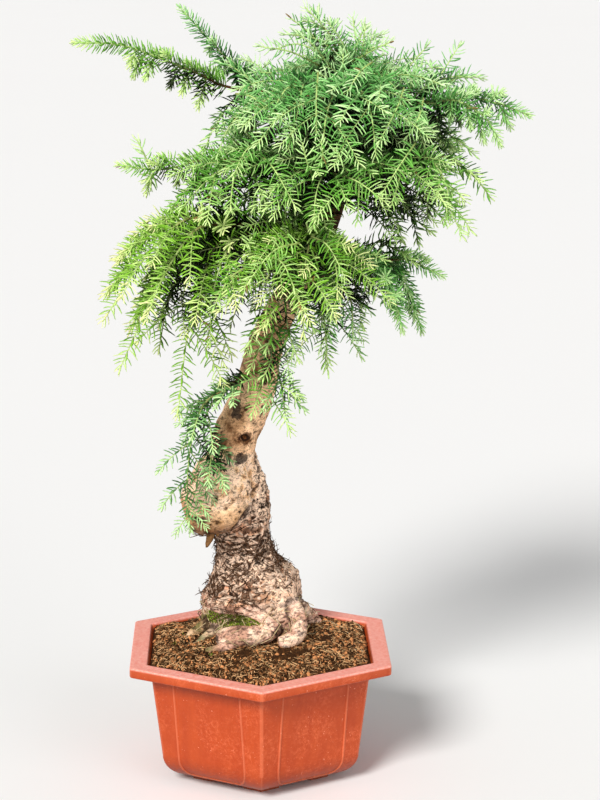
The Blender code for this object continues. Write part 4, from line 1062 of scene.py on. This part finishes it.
def bark_colours(points, facts):
    """The bark's colour at each point, with painted shade in its hollows, crease and crevices and under the
    burl, and how chipped it is there.
    """
    push, low, burl, crease, strip, pits, shaggy, cracks, lobes, plain = facts.T
    height = points[:, 2]
    spots = fractal(points, 0.009, 11)
    broad = fractal(points, (0.05, 0.05, 0.03), 12)
    fine = fractal(points, (0.006, 0.006, 0.003), 14, 2)
    rust = stair(fractal(points, 0.016, 17), 0.45, 0.9)
    neck = stair(height, 0.395, 0.425) * (1 - stair(height, 0.428, 0.436))
    colour = mix("E2B892", "B68A64", stair(broad + 0.5 * spots, -0.5, 0.7))
    colour = mix(colour, "6E4428", 0.7 * stair(broad + 0.9 * spots, 0.55, 1.0) * (1 - low))
    bulge = mix("FBD2AC", "C4966C", stair(0.7 * broad + 0.9 * spots, -0.5, 0.6))
    bulge = mix(bulge, "9A7040", 0.6 * (1 - stair(height + 0.012 * broad, 0.350, 0.375)))
    colour = mix(colour, bulge, np.maximum(burl, neck))
    plates = mix("FFE0C6", "E2AA88", stair(0.7 * broad + 0.6 * spots, -0.3, 0.8))
    skin = mix("FCDECA", "B88C76", stair(0.8 * broad + 0.7 * spots, -0.6, 0.7))
    rough = np.maximum(shaggy * (1 - 0.55 * plate_zone(points)), 0.85 * strip)
    colour = mix(mix(colour, skin, lobes), mix(plates, "B87450", 0.6 * rust), rough)
    old = stair(-points[:, 0], 0.050, 0.072) * low * (1 - stair(height, 0.206, 0.216))
    colour = mix(colour, mix("A98A58", "5E6A26", stair(spots, 0.0, 0.4)), 0.7 * old)
    # Painted shade in the bark's hollows, where it is pushed in
    hollow_shade = stair(-push + 0.0006 * fine, -0.0014, 0.0008)
    # The burl's underside: brown-olive scales, darkened further as painted shade under its overhang
    under = burl * (1 - stair(height, 0.340, 0.356))
    # Darker bark: painted shade in the hollows, along the crease round the burl's lower edge and in the
    # crevices between roots, besides dark grain, spots, pits and cracks, and the burl's underside
    darker = (("38241A", rough * 0.93 * hollow_shade),
              ("2C1C14", 0.9 * np.maximum(rough, 0.75 * lobes) * stair(fine, 0.34, 0.70)),
              ("4A3022", 0.8 * (1 - low) * stair(spots + 0.5 * fine, 0.75, 1.1)),
              ("24150E", np.maximum(0.9 * pits * (1 - low), 0.85 * cracks)),
              ("2A1A12", 0.9 * np.clip(crease, 0, 1)),
              ("3A261A", 0.8 * crevice_shade(points) * (1 - 0.5 * shaggy)),
              (mix("8A5A34", "4A2E1C", stair(fine, -0.4, 0.5)), 0.8 * under))
    for dark, share in darker:
        colour = mix(colour, dark, share)
    crown = stair(height, 0.60, 0.72)
    wear = (0.6 + 0.4 * np.maximum(shaggy, strip)) * plain
    light = colour @ (0.3, 0.6, 0.1)
    colour = np.minimum(colour * ((1.14 + 0.12 * low) * (light / 0.36) ** 0.33)[:, None], linear("FFDABC"))
    return mix(colour, mix("7A5436", "4B3323", stair(spots, -0.3, 0.5)), crown), wear


def bark_look():
    """The bark's own colours with fine grain and chips over them, and dark spots at its holes and stains, the
    near-black ones inside the holes being painted shade.
    """
    look = Look("bark", 0.88)
    grain = look.noise(1.0, 6.0, 0.7, look.squeezed(230.0, 230.0, 420.0))
    fine = look.noise(1100.0, 4.0, 0.6)
    chips = look.noise(1.0, 3.0, 0.6, look.squeezed(250.0, 250.0, 330.0), 0.8)
    base = look.product(look.attribute("bark"), look.ramp(grain, (0.34, 0.4), (0.46, 1.0), (0.66, 1.3)))
    base = look.blend(look.ramp(fine, (0.60, 0.0), (0.70, 0.55)), base, "2E1E16")
    chipped = look.product(look.attribute("wear"), look.ramp(chips, (0.55, 0.0), (0.61, 1.0)))
    base = look.blend(chipped, base, "20130D")
    ragged = look.noise(170.0, 5.0, 0.65)
    spots = [(place, (radius * 1.5, 0.02, radius * 1.3), "5A3620") for place, radius, _ in MARKS]
    # Painted shade: the insides of the holes are near-black
    spots += [(place, (radius, 0.02, radius * 0.85), "140A06") for place, radius, _ in MARKS]
    spots += [(place, (radius * 0.42, 0.02, radius * 0.36), "7A4A28") for place, radius, _ in MARKS[:1]]
    spots += [(place, (wide * 1.2, 0.02, high * 1.2), "2A2422") for place, wide, high in STAINS]
    for place, size, colour in spots:
        apart = look.vector("SUBTRACT", look.place, AXIS + place).outputs[0]
        apart = look.vector("DIVIDE", apart, size).outputs[0]
        edge = look.add("ShaderNodeMath", operation="MULTIPLY_ADD")
        look.tree.links.new(ragged, edge.inputs[0])
        edge.inputs[1].default_value = 2.2
        look.tree.links.new(look.vector("LENGTH", apart).outputs["Value"], edge.inputs[2])
        inside = look.product(look.rise(edge.outputs[0], 2.15, 1.95), 0.86)
        base = look.blend(inside, base, colour)
    return look.finish(base, None, look.blend(0.5, grain, fine), 0.0016, 0.9)


def on_bark(points, chance, count, low, high, share):
    """Random points of the lower bark, more of them where the share is large."""
    picks = chance.randint(0, len(points), count * 40)
    height = points[picks, 2]
    keep = (height > low) & (height < high) & (chance.uniform(0, 1, len(picks)) < share(points[picks]))
    return picks[keep][:count]


def lie(normal):
    """The level way along the bark, and the way up it."""
    level = unit(np.cross(normal, (0, 0, 1.0)) + 1e-6)
    return level, np.cross(level, normal)


def bark_threads(points, normals):
    """Thin dark root hairs and bark strips that cling to the lower trunk and curl away from it."""
    chance = np.random.RandomState(21)

    def share(p):
        even = (0.15 + 0.85 * stair(p[:, 2], *SHAGGY_FROM)) * (1 - 0.9 * on_roots(p))
        even = even * (1 - 0.8 * plate_zone(p)) * (1 - 0.5 * stair(p[:, 0], -0.012, 0.004))
        return even * (0.15 + 0.85 * stair(fractal(p, 0.026, 51, 2), -0.1, 0.4))

    shells = []
    for pick in on_bark(points, chance, THREADS, 0.190, 0.335, share):
        root, normal = points[pick], normals[pick]
        level, rise = lie(normal)
        turn = chance.normal(0, 0.75) + (math.pi if chance.uniform() < 0.5 else 0)
        way = math.cos(turn) * level + math.sin(turn) * rise
        length = chance.uniform(0.008, 0.026)
        lift = chance.uniform(-0.02, 0.42)
        curl = chance.uniform(-0.5, 0.5)
        run = np.linspace(0, 1, 6)[:, None] * length
        side = np.cross(normal, way)
        line = root + way * run + normal * (0.0006 + lift * run - run**2 / 0.10)
        line = line + side * curl * run**2 / length
        radius = chance.uniform(0.0005, 0.0011) * np.linspace(1, 0.35, 6)
        shells.append(tube(np.column_stack([line, radius]), 3))
    return join(shells)


def root_straws(points, normals):
    """Pale straws and fine roots that lie over the foot of the trunk."""
    chance = np.random.RandomState(26)
    shells = []
    for pick in on_bark(points, chance, ROOT_STRAWS, 0.192, 0.225, lambda p: 1.0):
        root, normal = points[pick], normals[pick]
        way = unit(np.cross(normal, (0, 0, 1.0)) * chance.choice((-1, 1)) + (0, 0, chance.normal(-0.1, 0.6)))
        length = chance.uniform(0.010, 0.030)
        run = np.linspace(-0.5, 0.5, 7)[:, None] * length
        side = np.cross(normal, way)
        line = root + way * run + side * chance.uniform(-9, 9) * run**2 + normal * (0.0022 - 7 * run**2)
        shells.append(tube(np.column_stack([line, np.full(7, chance.uniform(0.0003, 0.0006))]), 3))
    return join(shells)


def bark_flakes(points, normals):
    """Curled flakes of bark, each a thin bent plate with one edge lifted, and a tone for each point."""
    chance = np.random.RandomState(22)

    def share(p):
        low = (0.25 + 0.75 * stair(p[:, 2], *SHAGGY_FROM)) * (1 - stair(p[:, 2], 0.30, 0.34))
        return np.maximum(low, 0.5 * (p[:, 0] > -0.012)) * (1 - on_roots(p))

    shells, tints = [], []
    for pick in on_bark(points, chance, FLAKES, 0.195, 0.400, share):
        root, normal = points[pick], normals[pick]
        level, rise = lie(normal)
        turn = chance.normal(0, 0.8)
        along = math.cos(turn) * level + math.sin(turn) * rise
        across = np.cross(along, normal)
        length, width = chance.uniform(0.005, 0.015), chance.uniform(0.0014, 0.0044)
        lift = chance.uniform(0.1, 0.8)
        rings = []
        for place in np.linspace(-1, 1, 5):
            middle = root + along * place * length / 2 - normal * (place * length) ** 2 / 0.10
            half = width / 2 * (1 - 0.55 * place**2)
            low = middle - across * half + normal * 0.0001
            high = middle + across * half + normal * lift * half * 1.4
            rings.append(np.array((low, high, high + normal * 0.0005, low + normal * 0.0005)))
        shells.append(loft(rings))
        tints.append(np.full(20, chance.uniform(0, 1)))
    return join(shells), np.concatenate(tints)


def moss(points, normals):
    """Tufts of short blades in the hollow above the front root and on the soil beside it."""
    chance = np.random.RandomState(24)
    low, high = MOSS_ON_WOOD
    bed = ((points > low) & (points < high)).all(axis=1) & (fractal(points, 0.013, 41, 2) > -0.6)
    picks = chance.permutation(np.flatnonzero(bed))[:MOSS_BLADES]
    shells = []
    x, y = chance.uniform(*MOSS_ON_SOIL, (MOSS_BLADES, 2)).T
    thick = fractal(np.stack([x, y, 0 * x], axis=1), 0.016, 43, 2) > 0.45 + 6 * np.abs(x + 0.065)
    on_soil = np.stack([x, y, soil_top(x, y)], axis=1)[thick]
    on_wood = points[picks] + normals[picks] * chance.uniform(0, 0.0022, (len(picks), 1))
    roots = np.vstack([on_wood + chance.uniform(-0.0009, 0.0009, on_wood.shape), on_soil])
    ways = np.vstack([0.6 * normals[picks], 0 * on_soil]) + (0, 0, 0.9)
    spread = chance.uniform(0, 1, len(roots))
    for root, way in zip(roots, ways):
        way = unit(way + chance.uniform(-0.55, 0.55, 3))
        length = chance.uniform(0.0014, 0.0036)
        line = np.stack([root, root + way * length * 0.6, root + way * length + (0, 0, 0.0003)])
        shells.append(tube(np.column_stack([line, (0.0007, 0.0006, 0.00015)]), 3))
    patch = stair(fractal(roots, 0.011, 44, 2), -0.4, 0.5)
    tint = mix("2A360C", mix("7E9630", "D2E05A", patch), spread**1.1)
    return join(shells), np.repeat(tint, 9, axis=0)


def flaps():
    """The torn strips of bark that hang from the underside of the burl."""
    chance = np.random.RandomState(23)
    shells = []
    for root, length, width, twist in FLAPS:
        rings = []
        for share in np.linspace(0, 1, 12):
            half = width * (0.5 + 0.35 * math.sin(2.6 * share)) * (1 - share**6 * 0.7)
            turn = twist * share
            side = np.array((math.cos(turn), math.sin(turn), 0.0))
            thick = np.array((-math.sin(turn), math.cos(turn), 0.0)) * 0.0006
            place = np.array(root) + (0.004 * math.sin(3.0 * share + twist), -0.003 * share, -length * share)
            place = place + chance.uniform(-0.0003, 0.0003, 3)
            rings.append(np.array((place - side * half - thick, place + side * half - thick,
                                   place + side * half + thick, place - side * half + thick)))
        shells.append(loft(rings))
    return join(shells)


def strip_look(name, dark, pale, scale):
    """A grain of two tones, for threads and strips."""
    look = Look(name, 0.9)
    grain = look.noise(scale, 5.0, 0.65)
    return look.finish(look.ramp(grain, (0.32, dark), (0.68, pale)), None, grain, 0.0006, 0.7)


def make_trunk(limbs):
    """The bark in two skins that meet at the crease round the neck, and what clings to it."""
    seam = TRUNK.index(SEAM)
    below = TRUNK[:seam] + (SEAM[:2] + (SEAM[2] + 0.010, SEAM[3] + 0.0012),)
    above = (SEAM[:3] + (SEAM[3] * 0.93,),) + TRUNK[seam + 1:]
    lower = [lobed(smooth_line(below, 0.006), trunk_lumps), lobed(smooth_line(BURL, 0.004), burl_lumps)]
    lower += [tube(smooth_line(root, 0.005), 16) for root in ROOTS]
    upper = [lobed(smooth_line(above, 0.006), trunk_lumps)]
    upper += [tube(smooth_line(line, 0.006), 12) for line in limbs.values()]
    points, faces, facts, normals = bark_shape(lower, 0.0018)
    more_points, more_faces, more_facts, _ = bark_shape(upper, 0.0022)
    mesh = make_mesh("bark", *join([(points, faces), (more_points, more_faces)]))
    low, high = bark_colours(points, facts), bark_colours(more_points, more_facts)
    paint(mesh, "bark", np.vstack([low[0], high[0]]))
    paint(mesh, "wear", np.concatenate([low[1], high[1]]))
    add_piece("bark_and_wood", mesh, bark_look(), "bark", ["trunk"])
    add_piece("bark_threads", make_mesh("threads", *bark_threads(points, normals)),
              strip_look("bark_thread", "180E08", "7C5A42", 300.0), "bark")
    add_piece("root_straws", make_mesh("straws", *root_straws(points, normals)),
              strip_look("root_straw", "9C7E4E", "F4E2B4", 300.0), "bark")
    shapes, tint = bark_flakes(points, normals)
    mesh = make_mesh("flakes", *shapes)
    paint(mesh, "tint", mix("3A2418", "FFE4CC", stair(tint, 0.12, 0.6)))
    add_piece("bark_flakes", mesh, tinted_look("bark_flake", 0.45, 500.0, "5A3E2C", "E8BC9C", 900.0), "bark")
    shapes, tint = moss(points, normals)
    mesh = make_mesh("moss", *shapes)
    paint(mesh, "tint", tint)
    add_piece("moss", mesh, tinted_look("moss", 0.3, 800.0, "33420C", "A8BE40"), "bark")
    add_piece("hanging_bark", make_mesh("flaps", *flaps()),
              strip_look("torn_bark", "4A3020", "B98A58", 160.0), "bark")


# Sprays

def point_on(line, share):
    """A row of the line's table, at a share of the way through it."""
    place = share * (len(line) - 1)
    low = min(int(place), len(line) - 2)
    return line[low] + (place - low) * (line[low + 1] - line[low])


def spray_lines(limbs):
    """For each spray, the line of its main shoot from inside its limb."""
    lines = {}
    for limb, rows in SPRAYS.items():
        names = UPPER_LEFT_NAMES if limb == "upper_left" else [f"{limb}_{k + 1}" for k in range(len(rows))]
        for name, (share, *points) in zip(names, rows):
            points = metres(points)
            start = point_on(limbs[limb], share)
            out = unit(np.array(points[0]) - start[:3])
            if share == 1.0:
                out = unit(out + 2 * unit(limbs[limb][-1, :3] - limbs[limb][-2, :3]))
            end = start[:3] + out * (start[3] + STUB_LENGTH)
            lines[name] = start[:3], smooth_line([end, end + out * STRAIGHT_START, *points], 0.010)
    return lines


def side_shoots(name, line):
    """The side shoots of a spray, as number, distance along the main shoot, direction and length."""
    ahead, _, _ = frames(line)
    length = length_of(line)
    chance = random.Random(name)
    for number in range(int((length - 0.018) / SIDE_SPACING)):
        place = 0.012 + number * SIDE_SPACING
        share = place / length
        stretch = chance.uniform(0.85, 1.15)
        twist = chance.uniform(-0.35, 0.35)
        direction = ahead[round(share * (len(line) - 1))]
        across = np.cross(direction, (0.0, 0.0, 1.0))
        across = unit(across if np.linalg.norm(across) > 0.3 else np.cross(direction, (0.0, 1.0, 0.0)))
        lift = np.cross(across, direction)
        across = across * (-1 if number % 2 else 1) * math.cos(twist) + lift * math.sin(twist)
        way = math.cos(SIDE_LEAN) * direction + math.sin(SIDE_LEAN) * across
        full = min(SIDE_LONGEST, SIDE_SHARE * length) * math.sin(math.pi * (0.22 + 0.70 * share)) ** 0.8
        yield number, place, way, max(SIDE_SHORTEST, full * stretch)


def outward(places):
    """The way that a shoot's outer face looks: out of the crown and up."""
    low, high = CROWN_AXIS
    share = np.clip((places[:, 2] - low[2]) / (high[2] - low[2]), 0, 1)[:, None]
    out = (places - (low + share * (high - low))) * (1, 1, 0)
    out /= np.maximum(np.linalg.norm(out, axis=1, keepdims=True), 0.03)
    return units(0.75 * out + (0, -0.12, 0.75))


def facing(places):
    """The way that the flat of a shoot looks: mostly to the front or the back, somewhat out and up."""
    front = np.tanh((places[:, 1] + 0.03) / 0.03)[:, None] * (0, 1, 0)
    return units(0.5 * outward(places) + 0.55 * front)


def drooping(root, way, length, sag):
    """A shoot's line that starts one way and sinks under its weight."""
    down = np.array((0, 0, -sag * length))
    middle = root + way * length * 0.55 + down * 0.25
    return smooth_line([root, middle, root + way * length + down], SHOOT_STEP)


def side_twig(line):
    """A side shoot with its two radii and how young it is."""
    return line, SIDE_RADIUS, SHOOT_TIP_RADIUS * 0.8, 0.3


def in_gap(line):
    """Whether a shoot crosses the gap through the crown."""
    share = (line[:, 1] - EYE[1]) / (GAP[1] - EYE[1])
    sight = np.array(EYE) + share[:, None] * (np.array(GAP) - EYE)
    off = (line - sight)[:, ::2] / GAP_SIZE
    return bool((np.linalg.norm(off, axis=1) < 1).any())


def spray_shoots(name, start, line, chance):
    """Every shoot of a spray as a line, its two radii and how young it is."""
    shoots = [(np.vstack([start, line]), SHOOT_RADIUS * 1.3, SHOOT_TIP_RADIUS, 0.0)]
    total = length_of(line)
    small = name.startswith("small")
    for number, place, way, length in side_shoots(name, line):
        root = sample(line, distances(line), place)
        if name in BRUSHES:
            if place < TUFTS_UP_TO * total:
                out = unit(0.6 * way + (0, 0, chance.choice((-0.7, 0.5))))
                shoots.append(side_twig(drooping(root, out, TUFT_LENGTH * chance.uniform(0.6, 1.4), 0.3)))
            continue
        if number % 4 == 3 or not small and place > SIDES_UP_TO * total:
            continue
        length *= SMALL_STRETCH if small else SIDE_STRETCH * (0.5 if name in SHORT_SIDES else 1.0)
        length = max(0.008, min(length, (SIDES_DEEP - abs(root[1])) / max(0.01, way[1] * np.sign(root[1]))))
        shoots.append(side_twig(drooping(root, way, length, SIDE_SAG)))
    return shoots


def inner_shoots(line, chance, short):
    """Shoots all round a woody line, each with two side shoots, and a fan of shoots at its end."""
    ahead, side, other = frames(line)
    along = distances(line)
    shoots = []
    for number in range(int((along[-1] - 0.02) / INNER_SPACING)):
        place = 0.02 + (number + chance.uniform(-0.3, 0.3)) * INNER_SPACING
        root, a, s, o = (sample(values[:, :3], along, place) for values in (line, ahead, side, other))
        turn = number * GOLDEN + chance.uniform(-0.4, 0.4)
        out = math.cos(turn) * s + math.sin(turn) * o
        way = unit(math.cos(INNER_LEAN) * a + math.sin(INNER_LEAN) * out + (0, 0, 0.15))
        length = chance.uniform(*INNER_REACH) * (SHORT_INNER if short else 1.0)
        main = drooping(root, way, length, 0.35)
        shoots.append((main, SHOOT_RADIUS, SHOOT_TIP_RADIUS, 0.2))
        m_ahead, m_side, m_other = frames(main)
        for k, share in enumerate((0.30, 0.50)):
            middle = round(share * (len(main) - 1))
            twist = turn + 2.1 * k + chance.uniform(-0.5, 0.5)
            out = math.cos(twist) * m_side[middle] + math.sin(twist) * m_other[middle]
            way = unit(m_ahead[middle] + out)
            shoots.append(side_twig(drooping(main[middle], way, chance.uniform(0.040, 0.065), 0.3)))
    for number in range(FAN):
        turn = number * math.tau / FAN + chance.uniform(-0.4, 0.4)
        out = math.cos(turn) * side[-1] + math.sin(turn) * other[-1]
        way = unit(ahead[-1] + chance.uniform(0.5, 1.1) * out)
        length = chance.uniform(*FAN_REACH) * (SHORT_FAN if short else 1.0)
        main = drooping(line[-2, :3], way, length, 0.3)
        shoots.append((main, SHOOT_RADIUS, SHOOT_TIP_RADIUS, 0.2))
    return shoots


def needles(shoots, chance, stages, size, step):
    """All the needles of some shoots, as points, triangles and what each point's colour comes from."""
    roots, aheads, outs, lengths, leans, ages, kinds = [], [], [], [], [], [], []
    for line, thick, thin, youth in shoots:
        ahead, _, _ = frames(line)
        along = distances(line)
        total = along[-1]
        first = BARE_START if youth == 0 else 0.004
        count = max(6, int((total - first) / step))
        places = first + (total - first) * (np.arange(count) + chance.uniform(0.3, 0.7, count)) / count
        share = places / total
        spot = sample(line, along, places)
        way = units(sample(ahead, along, places))
        face = facing(spot) + 0.3 * chance.uniform(-1, 1, 3)
        face = units(face - way * (face * way).sum(axis=1, keepdims=True) + 1e-6)
        right = np.cross(way, face)
        turn = GOLDEN * np.arange(count) if step == BRUSH_STEP else RANKS[np.arange(count) % len(RANKS)]
        turn = turn + chance.uniform(-0.16, 0.16, count)
        out = np.cos(turn)[:, None] * right + np.sin(turn)[:, None] * face
        radius = thick + (thin - thick) * share
        tip = np.clip((total - places) / YOUNG, 0, 1)
        full = NEEDLE_LENGTH * (0.50 + 0.50 * tip**0.7)
        swell = (step == BRUSH_STEP) * BRUSH_SWELL * (1 - share) ** 2
        full *= chance.uniform(0.86, 1.06, count) * (size + swell)
        roots.append(spot + out * radius[:, None] * 0.6)
        aheads.append(way)
        outs.append(out)
        lengths.append(full)
        leans.append(np.radians(20 + 46 * tip**0.7 + chance.uniform(-5, 5, count)))
        ages.append(np.clip(1 - (total - places) / (1.6 * YOUNG), 0, 1))
        kinds.append(np.full(count, youth + chance.uniform(0, 0.5)))
    root, ahead, out = (np.vstack(values) for values in (roots, aheads, outs))
    length, lean, age, youth = (np.concatenate(values) for values in (lengths, leans, ages, kinds))
    count = len(root)
    beside = units(np.cross(ahead, out))
    width = NEEDLE_WIDTH * (length / NEEDLE_LENGTH) ** 0.4 * chance.uniform(0.85, 1.15, count)
    width *= 1.2 if step == SMALL_STEP else 1.0
    rings, place = [], root.copy()
    reached = 0.0
    for share, wide in stages + ((1.0, 0.0),):
        bend = lean + 0.20 - 0.50 * (reached + share) / 2
        way = np.cos(bend)[:, None] * ahead + np.sin(bend)[:, None] * out
        place = place + way * ((share - reached) * length)[:, None]
        reached = share
        if wide:
            half = (width * wide / 2)[:, None]
            below = units(np.cross(way, beside)) * half * 0.9
            rings.append(np.stack([place - beside * half, place + beside * half, place + below], axis=1))
    points = np.concatenate([*rings, place[:, None]], axis=1)
    faces = []
    for k in range(len(stages) - 1):
        for j in range(3):
            n = (j + 1) % 3
            faces += [(3 * k + j, 3 * k + n, 3 * k + 3 + n), (3 * k + j, 3 * k + 3 + n, 3 * k + 3 + j)]
    last = 3 * (len(stages) - 1)
    faces += [(last + j, last + (j + 1) % 3, last + 3) for j in range(3)]
    faces = np.array(faces)[None] + (np.arange(count) * (3 * len(stages) + 1))[:, None, None]
    reach = np.array([share for share, _ in stages for _ in range(3)] + [1.0])
    luck = chance.uniform(0, 1, (count, 1))
    facts = np.stack(np.broadcast_arrays(age[:, None], youth[:, None], luck, reach), axis=2)
    return points.reshape(-1, 3), faces.reshape(-1, 3), facts.reshape(-1, 4)


class Crowd:
    """How closely the shoots stand about a place."""

    def __init__(self, lines):
        places = np.vstack(lines)
        self.low = places.min(axis=0) - 0.08
        cells = ((places - self.low) / CELL).astype(int)
        self.count = np.zeros(cells.max(axis=0) + 16)
        np.add.at(self.count, tuple(cells.T), 1.0)
        for axis in range(3):
            self.count = sum(np.roll(self.count, step, axis) for step in (-1, 0, 1)) / 3

    def __call__(self, places):
        cells = ((places - self.low) / CELL).astype(int)
        return self.count[tuple(np.clip(cells, 0, np.array(self.count.shape) - 1).T)]

    def shade(self, places):
        """From 0 for the outermost needles to 1 deep inside the crown."""
        out = outward(places)
        total = sum(self(places + out * reach) for reach in (0.020, 0.040, 0.060))
        return stair(total, SHADE_FROM, SHADE_FULL)


def needle_colours(name, points, facts, crowd):
    """Older needles are deep green, young ones pale, those on top of the crown bluish, and those deep inside
    it older and darkened as painted shade.
    """
    age, youth, luck, reach = facts.T
    height = points[:, 2]
    blue = 0.62 * stair(height, 0.76, 0.94)
    for start, share in BLUE_SHARES:
        if name.startswith(start):
            blue = np.full(len(height), share)
    gold = 1.0 if name.startswith(("low_left", "low_front")) else 0.15
    if name in ("long_left", "left_1"):
        gold += 0.35
    gold = gold * (1 - blue)
    deep, leaf, pale = (mix(mix(plain, bluish, blue), golden, gold) for plain, bluish, golden in NEEDLE_TONES)
    shade = crowd.shade(points)
    young = np.clip(0.24 - 0.3 * shade + 0.60 * age + 0.45 * youth + 0.4 * (luck - 0.5), 0, 1)
    colour = mix(deep, leaf, stair(young, 0.0, 0.45))
    colour = mix(colour, pale, stair(young, 0.45, 1.0))
    colour = mix(colour, pale, 0.35 * (1 - stair(reach, 0.0, 0.5)))
    if name.startswith("small"):
        colour = colour * (0.50 + 0.42 * stair(young, 0.35, 0.95))[:, None]
    colour = mix(colour, "8A5A30", (luck > 0.997) * 0.9)
    colour = colour * (0.74 + 0.40 * stair(young, 0.1, 0.75))[:, None]
    # Painted shade deep inside the crown
    return colour * (1 - 0.95 * shade)[:, None]


def stem_colours(shoots, crowd):
    """Shoots are brown or pale green at their base and pale green at their tip, and darkened as painted shade
    deep inside the crown.
    """
    colours = []
    for line, _, _, youth in shoots:
        share = np.repeat(np.linspace(0, 1, len(line)), STEM_SIDES)
        old = "7A4A2C" if youth < 0.3 else "A8B868"
        shade = np.repeat(crowd.shade(line), STEM_SIDES)
        colours.append(mix(old, "C4DC88", stair(share, 0.1, 0.5)) * (1 - 0.8 * shade)[:, None])
    return np.vstack(colours)


def leaf_look():
    """Each needle's own colour with a fine grain, and a little light let through."""
    look = Look("needle_green", 0.42)
    look.shader.inputs["Specular IOR Level"].default_value = 0.14
    grain = look.noise(300.0, 2.0)
    base = look.product(look.attribute("leaf"), look.ramp(grain, (0.3, 0.8), (0.7, 1.15)))
    look.finish(base)
    glow = look.add("ShaderNodeBsdfTranslucent", Color=base)
    both = look.add("ShaderNodeMixShader", Fac=0.08)
    look.tree.links.new(look.shader.outputs[0], both.inputs[1])
    look.tree.links.new(glow.outputs[0], both.inputs[2])
    look.tree.links.new(both.outputs[0], look.tree.nodes["Material Output"].inputs[0])
    return look.material


def slot_of(name):
    """The slot of a spray's colour, by its place in the crown."""
    if name.startswith(("low_left", "low_front", "small")):
        return "pale_green"
    return "blue_green" if name.startswith(("top", "high", "long")) else "green"


def add_spray(name, shoots, chance, stages, nodes, look, crowd):
    """One piece with all the needles and stems of some shoots."""
    size, step = 1.0, NEEDLE_STEP
    if name in BRUSHES:
        size, step = BRUSH_SHARE, BRUSH_STEP
    if name.startswith("small"):
        size, step = SMALL_SHARE, SMALL_STEP
    points, faces, facts = needles(shoots, chance, stages, size, step)
    stems = [tube(np.column_stack([line, np.linspace(thick, thin, len(line))]), STEM_SIDES)
             for line, thick, thin, _ in shoots]
    mesh = make_mesh(name, *join([(points, faces), *stems]))
    paint(mesh, "leaf", np.vstack([needle_colours(name, points, facts, crowd), stem_colours(shoots, crowd)]))
    add_piece("leaves_" + name, mesh, look, slot_of(name), nodes)


def draws(name):
    """Random draws that are always the same for a name."""
    return np.random.RandomState(zlib.crc32(name.encode()))


def make_sprays(limbs):
    """The sprays that the solids have, the inner leaves round each limb and the shoots over the front."""
    sprays = []
    for name, (start, line) in spray_lines(limbs).items():
        chance = draws(name)
        shoots = spray_shoots(name, start, line, chance)
        shoots = shoots[:1] + [shoot for shoot in shoots[1:] if not in_gap(shoot[0])]
        sprays.append((name, shoots, chance, NEEDLE_STAGES, ["spray_" + name]))
    leader = smooth_line(TRUNK[-6:], 0.01)
    extra = []
    for name, line in [("leader", leader), *limbs.items()]:
        if not name.startswith("small"):
            chance = draws(name)
            shoots = inner_shoots(line, chance, name in SHORT_FANS)
            extra.append(("inner_" + name, shoots, chance, INNER_STAGES))
    front = [(smooth_line(np.reshape(line, (3, 3)), SHOOT_STEP), SHOOT_RADIUS, SHOOT_TIP_RADIUS, 0.3)
             for line in FRONT_SHOOTS]
    extra.append(("front", front, np.random.RandomState(8), NEEDLE_STAGES))
    for name, shoots, chance, stages in extra:
        sprays.append((name, [shoot for shoot in shoots if not in_gap(shoot[0])], chance, stages, []))
    crowd = Crowd([line for spray in sprays for line, *_ in spray[1]])
    look = leaf_look()
    for spray in sprays:
        add_spray(*spray, look, crowd)


# Stage

def add_light(name, place, target, spread, power, colour=(1, 1, 1)):
    """A distant soft light whose disc is this many degrees across."""
    data = bpy.data.lights.new(name, "SUN")
    data.angle = math.radians(spread)
    data.energy = power
    data.color = colour
    lamp = link(bpy.data.objects.new(name, data))
    lamp.location = place
    way = Vector(target) - Vector(place)
    lamp.rotation_euler = way.to_track_quat("-Z", "Y").to_euler()


def make_stage():
    """The camera, the pale floor and soft studio light."""
    data = bpy.data.cameras.new("camera")
    data.lens = EYE_LENS
    data.sensor_width = 36
    camera = link(bpy.data.objects.new("camera", data))
    camera.location = AXIS + EYE
    camera.rotation_euler = EYE_TURN
    scene = bpy.context.scene
    scene.camera = camera
    corners = FLOOR_REACH * np.array([(-1, -1, 0), (1, -1, 0), (1, 1, 0), (-1, 1, 0)])
    floor = link(bpy.data.objects.new("floor", make_mesh("floor", corners, np.array([(0, 1, 2, 3)]))))
    look = Look("pale_floor", 0.9)
    floor.data.materials.append(look.finish(look.ramp(look.noise(0.3), (0.0, 0.90), (1.0, 0.92))))
    world = bpy.data.worlds.new("studio")
    world.use_nodes = True
    sky = world.node_tree.nodes["Background"].inputs
    sky["Color"].default_value = (1.0, 1.0, 1.0, 1.0)
    sky["Strength"].default_value = 0.33
    scene.world = world
    middle = (AXIS[0] + 0.03, 0.0, 0.6)
    add_light("key", (-1.3, -2.4, 2.6), middle, 20, 3.3, (1.0, 0.985, 0.96))
    add_light("fill", (1.8, -2.2, 1.6), middle, 45, 0.8)
    scene.view_settings.view_transform = "Standard"


limbs = limb_lines()
make_stage()
make_pot()
make_soil()
make_trunk(limbs)
make_sprays(limbs)
